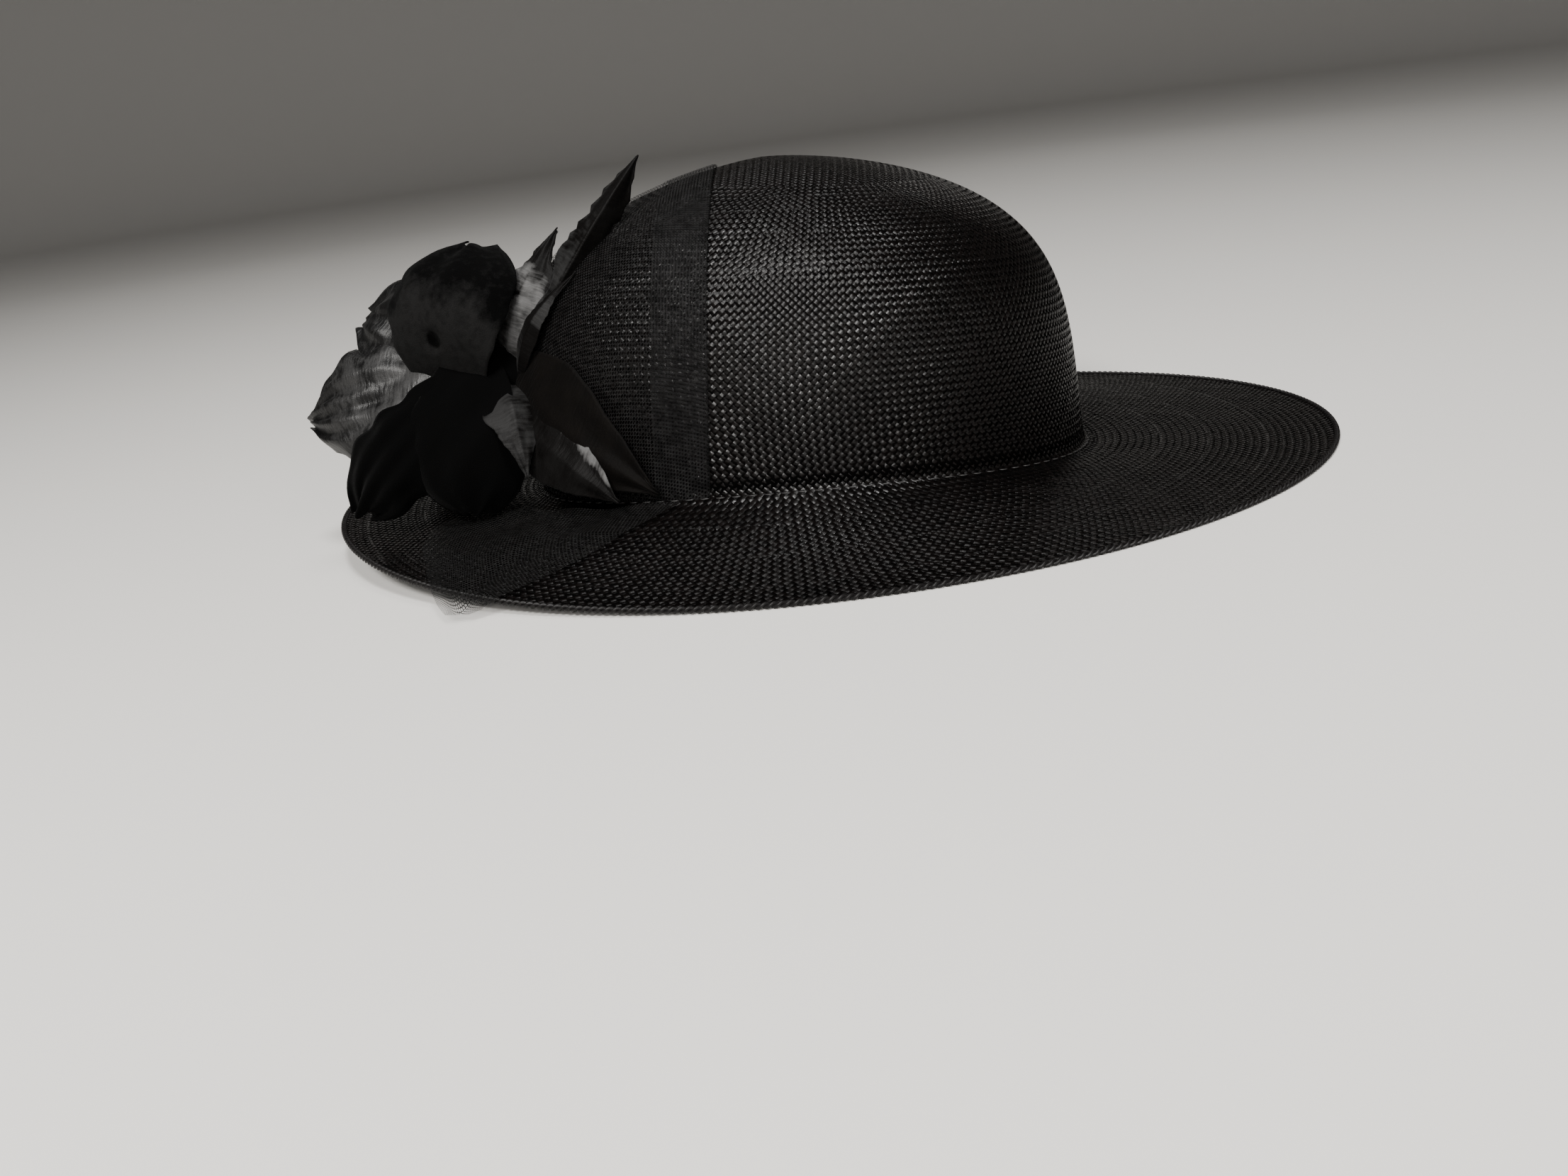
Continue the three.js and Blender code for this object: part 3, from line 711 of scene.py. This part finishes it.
section_share = np.linspace(0, 1, BRIM_NET_ROWS + 1)
knots = np.linspace(0, 1, len(BRIM_NET_SECTIONS))
section = {key: np.interp(section_share, knots, [row[key] for row in BRIM_NET_SECTIONS])[:, None]
           for key in BRIM_NET_SECTIONS[0]}
cross = np.linspace(0, 1, BRIM_NET_COLUMNS + 1)[None, :]
net_angles = np.radians(section["right"] + (section["left"] - section["right"]) * cross)
net_reach = section["right_reach"] + (section["left_reach"] - section["right_reach"]) * cross
pleats = BRIM_NET_PLEAT_HEIGHT * (1 - np.cos(2 * math.pi * BRIM_NET_PLEATS * cross)) * (section["lift"] > 0)
brim_net_grid = brim_point(net_angles, net_reach, STRAW / 2 + NET_HALF + section["lift"] + pleats)
brim_net_grid[..., 2] = np.maximum(brim_net_grid[..., 2], NET_HALF + FLOOR_GAP)
gathered_tulle = net_finish("gathered_tulle", GATHERED_STRAND, GATHERED_DARK, GATHERED_GREY)
brim_net = sheet_piece("brim_net_sheet", brim_net_grid, gathered_tulle, 0)
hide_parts("brim_net")
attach(brim_net, "root")

# Rose heart: a strip of black velvet rolled into a bud, sewn to the crown's back through the net.
# It winds out from a tight core, swells in its middle and closes a little towards its tip.
HEART_BASE = np.array([-102.0, -26.0, 55.0])
HEART_TIP = np.array([-127.0, -34.0, 62.0])
HEART_RADIUS = 12.0
HEART_TURNS = 3.2
HEART_STEPS = 110
HEART_ROWS = 12
HEART_CORE = 0.12
HEART_FOOT, HEART_SWELL, HEART_CLOSING = 0.75, 0.35, 0.85
HEART_FLARE, HEART_FLARE_RATE = 0.12, 1.7
HEART_TOP, HEART_SINK, HEART_FRILL, HEART_FRILL_RATE = 1.04, 0.12, 0.03, 2.3
HEART_CLOTH = 0.6
VELVET_PATCHES, VELVET_PILE, VELVET_BRUSHED = 90.0, 2600.0, 380.0
VELVET_LIFT = 0.4
EDGE_BY_RIM, EDGE_BY_PATCH, EDGE_LESS = 5, 1.6, 3.6
DARK_BY_EDGE, DARK_BY_PILE, DARK_BY_PATCH, DARK_BY_BRUSH, DARK_LESS = 0.9, 0.6, 0.4, 1.4, 1.1
LIFT_BY_PATCH = 2
VELVET_BLACK = (0.0006, 0.0006, 0.0006)
VELVET_GREY = (0.0058, 0.0057, 0.0056)


def velvet_finish(name, middle, rim):
    """Cotton velvet: a short upright pile, brushed in uneven patches, from its middle out to a painted-shade
    rim.
    """
    velvet = Finish(name, {
        "Roughness": 0.9, "Specular IOR Level": 0.02, "Sheen Weight": 0.008, "Sheen Roughness": 0.5,
    })
    patch = velvet.noise(velvet.place(), VELVET_PATCHES, detail=4.0)
    pile = velvet.noise(velvet.place(), VELVET_PILE, detail=1.0)
    brushed = velvet.noise(velvet.place(), VELVET_BRUSHED, detail=4.0)
    # edge is painted shade on the rim and in the tuck, where the cloth turns away from the light.
    edge = velvet.attribute("rim") * EDGE_BY_RIM + patch * EDGE_BY_PATCH - EDGE_LESS
    edge = edge.math("MAXIMUM", 0.0).math("MINIMUM", 1.0)
    dark = edge * DARK_BY_EDGE + pile * DARK_BY_PILE + patch * DARK_BY_PATCH
    dark = dark + brushed * DARK_BY_BRUSH - DARK_LESS
    velvet.put(velvet.surface, {
        "Base Color": velvet.blend(dark, middle, rim),
        "Normal": velvet.bump(pile + patch * LIFT_BY_PATCH, strength=0.5, distance=VELVET_LIFT * MM),
    })
    return velvet


black_velvet = velvet_finish("black_velvet", VELVET_BLACK, VELVET_BLACK)
heart_axis = HEART_TIP - HEART_BASE
heart_side = np.cross([0, 0, 1], heart_axis)
heart_side /= np.linalg.norm(heart_side)
heart_up = np.cross(heart_axis, heart_side)
heart_up /= np.linalg.norm(heart_up)
roll_share = np.linspace(0, 1, HEART_STEPS)[:, None]
rise = np.linspace(0, 1, HEART_ROWS)[None, :]
roll_turn = 2 * math.pi * HEART_TURNS * roll_share
swell = HEART_FOOT + HEART_SWELL * np.sin(math.pi * np.minimum(1, rise * HEART_CLOSING))
flare = 1 + HEART_FLARE * np.sin(roll_turn * HEART_FLARE_RATE) * rise
roll_radius = HEART_RADIUS * (HEART_CORE + (1 - HEART_CORE) * roll_share) * swell * flare
heart_frill = HEART_FRILL * np.sin(roll_turn * HEART_FRILL_RATE)
roll_height = rise * (HEART_TOP - HEART_SINK * roll_share + heart_frill)
heart_grid = (HEART_BASE + roll_height[..., None] * heart_axis
              + (roll_radius * np.cos(roll_turn))[..., None] * heart_side
              + (roll_radius * np.sin(roll_turn))[..., None] * heart_up)
heart = sheet_piece("rose_heart_roll", heart_grid, black_velvet, HEART_CLOTH)
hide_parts("rose_heart")
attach(heart, "root")

# Petals and leaves: single pieces of black velvet or satin, cut to shape, stiffened and gathered at the root.
# The petals sit round the heart, and the leaves spread from under it over the crown and the brim.
# Each has its root, tip, facing, cut and folds. The area named bright is painted light: the lit side of a
# folded leaf or a painted highlight along a fold. Tuck is a spot sewn in, its dent darkened with painted
# shade.
BLOOM_PIECES = [
    {"name": "petal_top", "kind": "petal", "cloth": "velvet", "finish": "grey_velvet_shaded_rim",
     "root": (-132, -35, 59), "tip": (-120, -28, 108), "facing": (-0.35, -0.93, 0.1),
     "width": 47, "neck": 0.58, "bow": 15, "cup": -8, "curl": 3, "fold": 0,
     "frill": 0.8, "waves": 3, "rag": 1.0, "pressed": 0.5, "tuck": (-0.08, 0.33)},
    {"name": "petal_left_upper", "kind": "petal", "cloth": "satin", "finish": "satin",
     "root": (-129, -31, 60), "tip": (-168, -13, 83), "facing": (-0.3, -0.9, 0.3),
     "width": 49, "neck": 0.45, "bow": 5, "cup": -4, "curl": 2, "fold": 0,
     "frill": 1.6, "waves": 4, "rag": 1.2, "pressed": 1.5},
    {"name": "petal_left_lower", "kind": "petal", "cloth": "satin", "finish": "satin",
     "root": (-129, -34, 60), "tip": (-191, -22, 53), "facing": (-0.15, -0.85, 0.5),
     "width": 40, "neck": 0.4, "bow": 7, "cup": -3, "curl": 2, "fold": 0,
     "frill": 2.0, "waves": 5, "rag": 1.8, "pressed": 1.5},
    {"name": "petal_low_left", "kind": "petal", "cloth": "velvet", "finish": "velvet",
     "root": (-125, -39, 61), "tip": (-171, -54, 23), "facing": (-0.2, -0.95, 0.15),
     "width": 31, "neck": 0.5, "bow": 10, "cup": -6, "curl": 3, "fold": 0,
     "frill": 1.8, "waves": 4, "rag": 2.0, "pressed": 1.1},
    {"name": "petal_low_right", "kind": "petal", "cloth": "velvet", "finish": "velvet",
     "root": (-123, -39, 68), "tip": (-129, -65, 21), "facing": (-0.1, -0.97, 0.15),
     "width": 43, "neck": 0.5, "bow": 7, "cup": -6, "curl": 2, "fold": 0,
     "frill": 1.0, "waves": 3, "rag": 0.8, "pressed": 0.9},
    {"name": "petal_right", "kind": "leaf", "cloth": "satin", "finish": "dim_satin",
     "root": (-114, -38, 60), "tip": (-105, -68, 31), "facing": (0.3, -0.9, 0.3),
     "width": 21, "neck": 0.6, "bow": 9, "cup": 0, "curl": 0, "fold": 20,
     "frill": 0.2, "waves": 3, "rag": 0.4, "pressed": 0.9, "bright": (-1.2, 1.2, -0.1, 1.1)},
    {"name": "petal_far_upper", "kind": "petal", "cloth": "velvet", "finish": "velvet",
     "root": (-126, -26, 63), "tip": (-150, 15, 83), "facing": (-0.5, 0.6, 0.6),
     "width": 46, "neck": 0.4, "bow": 6, "cup": -4, "curl": 2, "fold": 0,
     "frill": 1.2, "waves": 4, "rag": 1.0, "pressed": 0.6},
    {"name": "petal_far_middle", "kind": "petal", "cloth": "satin", "finish": "satin",
     "root": (-127, -27, 60), "tip": (-168, 16, 57), "facing": (-0.6, -0.6, 0.3),
     "width": 44, "neck": 0.4, "bow": 5, "cup": -3, "curl": 2, "fold": 0,
     "frill": 1.6, "waves": 4, "rag": 1.4, "pressed": 1.3},
    {"name": "petal_far_lower", "kind": "petal", "cloth": "velvet", "finish": "velvet",
     "root": (-126, -26, 57), "tip": (-152, 15, 27), "facing": (-0.5, 0.7, -0.2),
     "width": 46, "neck": 0.4, "bow": 6, "cup": -4, "curl": 2, "fold": 0,
     "frill": 1.2, "waves": 4, "rag": 1.0, "pressed": 0.6},
    {"name": "leaf_second", "kind": "leaf", "cloth": "satin", "finish": "highlit_satin",
     "root": (-113, -34, 58), "tip": (-87, -26, 108), "facing": (-0.4, -0.88, 0.25),
     "width": 26, "neck": 0.7, "bow": 9, "cup": 0, "curl": 0, "fold": 24,
     "frill": 0.4, "waves": 3, "rag": 1.0, "pressed": 0.9, "bright": (-1.2, 0.9, -0.1, 0.76)},
    {"name": "leaf_tall", "kind": "leaf", "outline": "blade", "cloth": "satin", "finish": "dim_satin",
     "root": (-108, -38, 61), "tip": (-54, -31, 129), "facing": (-0.05, -0.97, 0.2),
     "width": 19, "neck": 0.25, "bow": 10, "cup": 0, "curl": 0, "fold": 48,
     "frill": 0, "waves": 0, "rag": 1.9, "pressed": 0.5, "bright": (-1.2, -0.02, 0.15, 0.72)},
    {"name": "leaf_slim", "kind": "leaf", "cloth": "satin", "finish": "dim_satin",
     "root": (-108, -38, 58), "tip": (-80, -46, 94), "facing": (-0.6, -0.75, 0.3),
     "width": 9, "neck": 0.6, "bow": 8, "cup": 0, "curl": 0, "fold": 20,
     "frill": 0, "waves": 0, "rag": 0.5, "pressed": 0.5, "bright": (-0.2, 1.2, 0.5, 0.8)},
    {"name": "leaf_dark", "kind": "leaf", "cloth": "satin", "finish": "brown_satin",
     "root": (-110, -36, 62), "tip": (-59, -86, 24), "facing": (-0.55, -0.8, 0.25),
     "width": 38, "neck": 0.5, "bow": 9, "cup": 0, "curl": 0, "fold": 8,
     "frill": 0.6, "waves": 2, "rag": 0.3, "pressed": 0.15, "bright": (2.0, 2.1, 0.0, 0.1)},
    {"name": "leaf_low", "kind": "leaf", "cloth": "satin", "finish": "highlit_satin",
     "root": (-114, -42, 52), "tip": (-72, -87, 23), "facing": (-0.45, -0.85, 0.3),
     "width": 28, "neck": 0.6, "bow": 5, "cup": 0, "curl": 0, "fold": 14,
     "frill": 0.4, "waves": 2, "rag": 0.3, "pressed": 0.5, "bright": (-1.2, -0.6, 0.42, 0.95)},
]
OUTLINES = {"petal": (0.62, 0.25, 2.0), "leaf": (0.4, 0.05, 1.5), "blade": (0.65, 0.05, 2.3)}
RIM_END, RIM_SIDE, RIM_NECK = 0.75, 0.6, (0.2, 0.6)
BRIGHT_BLUR = (0.25, 0.1)
ROLLED_FROM = 0.86
ROLLED = 1.6
TUCK_RADIUS = 5.5
TUCK_DEPTH = 3.0
TUCK_SHADE = 0.9
TUCK_BLUR = (0.2 * TUCK_RADIUS, 1.2 * TUCK_RADIUS)
BLOOM_ROWS = 36
BLOOM_COLUMNS = 30
BLOOM_SEED = 100
FACETS = 4
FACET_SIZE = (7, 15)
RAG_WAVES = 4
RAG_RATE = (6, 30)
RAG_PHASE = (0, 6)
RAG_SIDE, RAG_NECK = 0.5, (0.15, 0.4)
RAG_END_RATE, RAG_END_POWER = 0.3, 4
TEETH = 12
TOOTH_DEPTH = 2
TEETH_FROM = (0.4, 0.7)
CLOTH = 0.5
SATIN_CREASES, SATIN_WEAVE = 110.0, 2400.0
SATIN_RIBS = (0.12, 0.9)
SATIN_LIFT = 0.6
PATCH_BY_CREASE, PATCH_BY_RIB, PATCH_BY_WEAVE, PATCH_LESS = 2.4, 0.8, 0.4, 1.4
LIT_BY_RIM, LIT_BY_CREASE, LIT_BY_RIB, LIT_LESS = 2.6, 6, 2, 5.7
LIFT_BY_WEAVE, LIFT_BY_CREASE, LIFT_BY_RIB = 0.2, 2, 0.8
ROUGH_BY_CREASE = 0.16
SATIN_BLACK = (0.0015, 0.00145, 0.00145)
SATIN_SHEEN_GREY = (0.038, 0.0377, 0.0374)
SATIN_HIGHLIGHT = (0.06, 0.0595, 0.059)
SATIN_DIM = (0.012, 0.0119, 0.0118)
BROWN_BLACK = (0.0009, 0.0007, 0.0006)
BROWN_GREY = (0.0016, 0.0012, 0.0009)


def ease(value, low, high):
    share = np.clip((value - low) / (high - low), 0, 1)
    return share * share * (3 - 2 * share)


def half_width(piece, along):
    widest, blunt, power = OUTLINES[piece.get("outline", piece["kind"])]
    opening = np.sin(np.minimum(along / widest, 1) * math.pi / 2)
    past = np.maximum(0, (along - widest) / (1 - widest))
    closing = np.sqrt(1 - past ** power) if piece["kind"] == "petal" else 1 - past ** power
    return piece["width"] / 2 * (piece["neck"] + (1 - piece["neck"]) * opening) * np.maximum(blunt, closing)


def unit(vector):
    return vector / np.linalg.norm(vector)


def ragged(random, share):
    """A cut edge's uneven line along its length."""
    waves = (np.sin(random.uniform(*RAG_RATE) * share + random.uniform(*RAG_PHASE)) for _ in range(RAG_WAVES))
    return sum(waves) / 2


def pressed(random, x, y):
    """Flat facets between crisp folds that run one way over the cloth."""
    heading = random.uniform(0, math.pi)
    distance = x * math.cos(heading) + y * math.sin(heading)
    place = distance / random.uniform(*FACET_SIZE) + random.uniform(0, 2)
    return abs(place % 2 - 1)


def bloom_grid(piece, random):
    """The cloth's points, and how near each is to a petal's rim or tuck (painted shade) or in a leaf's bright
    area (painted light).
    """
    root, tip = np.array(piece["root"], float), np.array(piece["tip"], float)
    axis = tip - root
    ahead = unit(axis)
    facing = np.array(piece["facing"], float)
    facing = unit(facing - ahead * (facing @ ahead))
    sideways = np.cross(ahead, facing)
    along = np.linspace(0, 1, BLOOM_ROWS + 1)[:, None]
    across = np.linspace(-1, 1, BLOOM_COLUMNS + 1)[None, :]
    rim = np.maximum(ease(along, RIM_END, 1), ease(abs(across), RIM_SIDE, 1) * ease(along, *RIM_NECK))
    wave = np.sin(math.pi * piece["waves"] * across + along) * along ** 2
    wide = half_width(piece, along)
    fold = math.radians(piece["fold"])
    lift = (piece["bow"] * 4 * along * (1 - along) + piece["cup"] * across ** 2 * along
            - abs(across) * wide * math.sin(fold) + piece["frill"] * wave - piece["curl"] * rim)
    if piece["kind"] == "petal":
        nearness = np.maximum(abs(across) * ease(along, *RIM_NECK), along)
        lift = lift - ROLLED * ease(nearness, ROLLED_FROM, 1.0) ** 2
        if "tuck" in piece:
            aside, above = piece["tuck"]
            away = np.hypot((across - aside) * wide, (along - above) * np.linalg.norm(axis))
            lift = lift - TUCK_DEPTH * (1 - ease(away, 0, TUCK_RADIUS))
            # The tuck's dent is darkened with painted shade.
            nearness = np.maximum(nearness, TUCK_SHADE * (1 - ease(away, *TUCK_BLUR)))
    else:
        # A leaf's bright area is a mask of painted light and painted highlight.
        left, right, low, high = piece["bright"]
        beside, ahead_of = BRIGHT_BLUR
        nearness = ease(across, left - beside, left + beside)
        nearness = nearness * (1 - ease(across, right - beside, right + beside))
        nearness = nearness * ease(along, low - ahead_of, low + ahead_of)
        nearness = nearness * (1 - ease(along, high - ahead_of, high + ahead_of))
    reach = np.linalg.norm(axis)
    for _ in range(FACETS):
        lift = lift + piece["pressed"] * (pressed(random, across * wide, along * reach) - 0.5)
    edges = np.where(across < 0, ragged(random, along), ragged(random, along))
    if piece["kind"] == "leaf":
        edges = edges - TOOTH_DEPTH * (along * TEETH % 1) * ease(along, *TEETH_FROM)
    at_end = along ** RAG_END_POWER
    ragging = piece["rag"] * edges * ease(abs(across), RAG_SIDE, 1) * ease(along, *RAG_NECK) * (1 - at_end)
    wide = wide + ragging
    length = along + piece["rag"] / reach * ragged(random, across * RAG_END_RATE) * at_end
    spread = across * wide * math.cos(fold)
    points = root + length[..., None] * axis + spread[..., None] * sideways + lift[..., None] * facing
    return points, nearness


def satin_finish(name, dark, light, rough, gloss, patchy, edge):
    """Stiffened satin: a close weave with a soft sheen and fine creases, painted lighter or darker in patches
    and at its rim.
    """
    satin = Finish(name, {"Specular IOR Level": gloss, "Sheen Weight": 0.015, "Sheen Roughness": 0.4})
    crease = satin.noise(satin.place(), SATIN_CREASES, detail=4.0)
    rib_place = [satin.attribute(label) * scale for label, scale in zip(("across", "along"), SATIN_RIBS)]
    ribs = satin.noise(satin.vector(*rib_place), scale=1.0, detail=3.0)
    weave = satin.noise(satin.place(), SATIN_WEAVE, detail=1.0)
    # patch is painted sheen and crease shade: lighter and darker patches that follow the creases and ribs.
    patch = patchy * (crease * PATCH_BY_CREASE + ribs * PATCH_BY_RIB + weave * PATCH_BY_WEAVE - PATCH_LESS)
    # lit is painted light on a leaf's bright area, and with a negative edge painted shade on a petal's rim.
    lit = satin.attribute("rim") * LIT_BY_RIM + crease * LIT_BY_CREASE + ribs * LIT_BY_RIB - LIT_LESS
    lift = weave * LIFT_BY_WEAVE + crease * LIFT_BY_CREASE + ribs * LIFT_BY_RIB
    satin.put(satin.surface, {
        "Base Color": satin.blend(patch + edge * lit.math("MAXIMUM", 0.0), dark, light),
        "Roughness": rough + ROUGH_BY_CREASE * crease,
        "Normal": satin.bump(lift, strength=0.6, distance=SATIN_LIFT * MM),
    })
    return satin


finishes = {
    "velvet": black_velvet,
    # The top petal's velvet is grey in its middle, and its black rim is painted shade.
    "grey_velvet_shaded_rim": velvet_finish("grey_velvet_shaded_rim", VELVET_GREY, VELVET_BLACK),
    # The black satin's grey patches are painted sheen, and its petals' rims get painted shade.
    "satin": satin_finish("black_satin", SATIN_BLACK, SATIN_SHEEN_GREY,
                          rough=0.34, gloss=0.2, patchy=1.1, edge=-0.95),
    "brown_satin": satin_finish("brown_satin", BROWN_BLACK, BROWN_GREY,
                                rough=0.6, gloss=0.04, patchy=1.0, edge=0.0),
    # These two satins paint light on the leaves' bright areas: the lit side of a fold and a highlight strip.
    "highlit_satin": satin_finish("highlit_satin", BROWN_BLACK, SATIN_HIGHLIGHT,
                                 rough=0.45, gloss=0.05, patchy=0.05, edge=0.7),
    "dim_satin": satin_finish("dim_satin", BROWN_BLACK, SATIN_DIM,
                              rough=0.45, gloss=0.05, patchy=0.1, edge=0.7),
}
for number, bloom in enumerate(BLOOM_PIECES):
    grid, nearness = bloom_grid(bloom, np.random.default_rng(BLOOM_SEED + number))
    # nearness goes in as the cloth's rim map, which the finishes turn into painted shade or painted light.
    piece = sheet_piece(bloom["name"] + "_cloth", grid, finishes[bloom["finish"]], CLOTH, nearness)
    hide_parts(bloom["name"])
    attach(piece, "root")

# Studio: a pale paper floor that curves up all round into a backdrop, with soft lights at the hat's right,
# over it and, much weaker, behind it. The camera stands at the hat's right, over its brim, rolled a little.
# Each light has its place and the height it aims at in metres, its width in metres, its watts and its colour.
FLOOR_RADIUS = 3.0
FLOOR_BEND = 1.2
FLOOR_TOP = 2.4
FLOOR_SIDES = 96
FLOOR_SHARES = (0.0, 0.33, 0.66, 1.0)
BEND_STEPS = 12
FLOOR_PALE = (0.5, 0.49, 0.47)
LIGHTS = [
    ("key_light", (-0.45, -1.1, 1.05), 0.06, 0.4, 37, (1.0, 0.98, 0.95)),
    ("front_light", (0.05, -1.5, 0.55), 0.06, 0.35, 14, (1.0, 0.98, 0.96)),
    ("side_light", (0.6, -1.2, 0.85), 0.06, 0.35, 4, (1.0, 0.98, 0.96)),
    ("upper_light", (0.1, -0.62, 1.3), 0.05, 0.32, 22, (1.0, 0.99, 0.98)),
    ("top_light", (-0.05, 0.3, 1.4), 0.05, 0.5, 6, (1.0, 0.99, 0.98)),
    ("back_left_light", (-0.67, 1.35, 0.6), 0.05, 0.3, 0.4, (1.0, 0.97, 0.93)),
    ("back_right_light", (0.55, 1.45, 0.6), 0.05, 0.3, 0.4, (1.0, 0.97, 0.93)),
]
AIR = (1.0, 0.98, 0.96)
AIR_LIGHT = 0.05
CAMERA_PLACE = (-3.374, -540.09, 148.991)
CAMERA_DOWN = 19.779
CAMERA_YAW = 2.364
CAMERA_ROLL = 7.927
CAMERA_LENS = 32.55
CAMERA_SENSOR = 36

profile = [(FLOOR_RADIUS * share, 0.0) for share in FLOOR_SHARES]
for step in range(1, BEND_STEPS + 1):
    turn = step / BEND_STEPS * math.pi / 2
    profile.append((FLOOR_RADIUS + FLOOR_BEND * math.sin(turn), FLOOR_BEND * (1 - math.cos(turn))))
profile.append((FLOOR_RADIUS + FLOOR_BEND, FLOOR_TOP))
floor_mesh = bpy.data.meshes.new("studio_floor")
floor_mesh.from_pydata([(x, 0, z) for x, z in profile], [(i, i + 1) for i in range(len(profile) - 1)], [])
floor = bpy.data.objects.new("studio_floor", floor_mesh)
bpy.context.scene.collection.objects.link(floor)
bpy.ops.object.select_all(action="DESELECT")
bpy.context.view_layer.objects.active = floor
floor.select_set(True)
lathe = floor.modifiers.new("lathe", "SCREW")
lathe.steps = FLOOR_SIDES
lathe.render_steps = FLOOR_SIDES
lathe.use_merge_vertices = True
bpy.ops.object.modifier_apply(modifier=lathe.name)
bpy.ops.object.shade_smooth()
paper = Finish("studio_paper", {"Base Color": (*FLOOR_PALE, 1), "Roughness": 0.9, "Specular IOR Level": 0.1})
floor.data.materials.append(paper.material)

for name, place, aim, size, power, colour in LIGHTS:
    lamp = bpy.data.lights.new(name, "AREA")
    lamp.shape = "DISK"
    lamp.size = size
    lamp.energy = power
    lamp.color = colour
    light = bpy.data.objects.new(name, lamp)
    bpy.context.scene.collection.objects.link(light)
    light.location = place
    ahead = np.array([0, 0, aim]) - np.array(place)
    light.rotation_euler = (math.acos(-ahead[2] / np.linalg.norm(ahead)), 0, math.atan2(-ahead[0], ahead[1]))

world = bpy.data.worlds.new("studio_air")
world.use_nodes = True
world.node_tree.nodes["Background"].inputs["Color"].default_value = (*AIR, 1)
world.node_tree.nodes["Background"].inputs["Strength"].default_value = AIR_LIGHT
bpy.context.scene.world = world

lens = bpy.data.cameras.new("photo_camera")
lens.lens = CAMERA_LENS
lens.sensor_width = CAMERA_SENSOR
camera = bpy.data.objects.new("photo_camera", lens)
bpy.context.scene.collection.objects.link(camera)
camera.location = [CAMERA_PLACE[0] * MM + MIDDLE_X, CAMERA_PLACE[1] * MM, CAMERA_PLACE[2] * MM]
turned = Matrix.Rotation(math.radians(CAMERA_YAW), 3, "Z")
turned = turned @ Matrix.Rotation(math.radians(90 - CAMERA_DOWN), 3, "X")
turned = turned @ Matrix.Rotation(math.radians(-CAMERA_ROLL), 3, "Z")
camera.rotation_euler = turned.to_euler()
bpy.context.scene.camera = camera
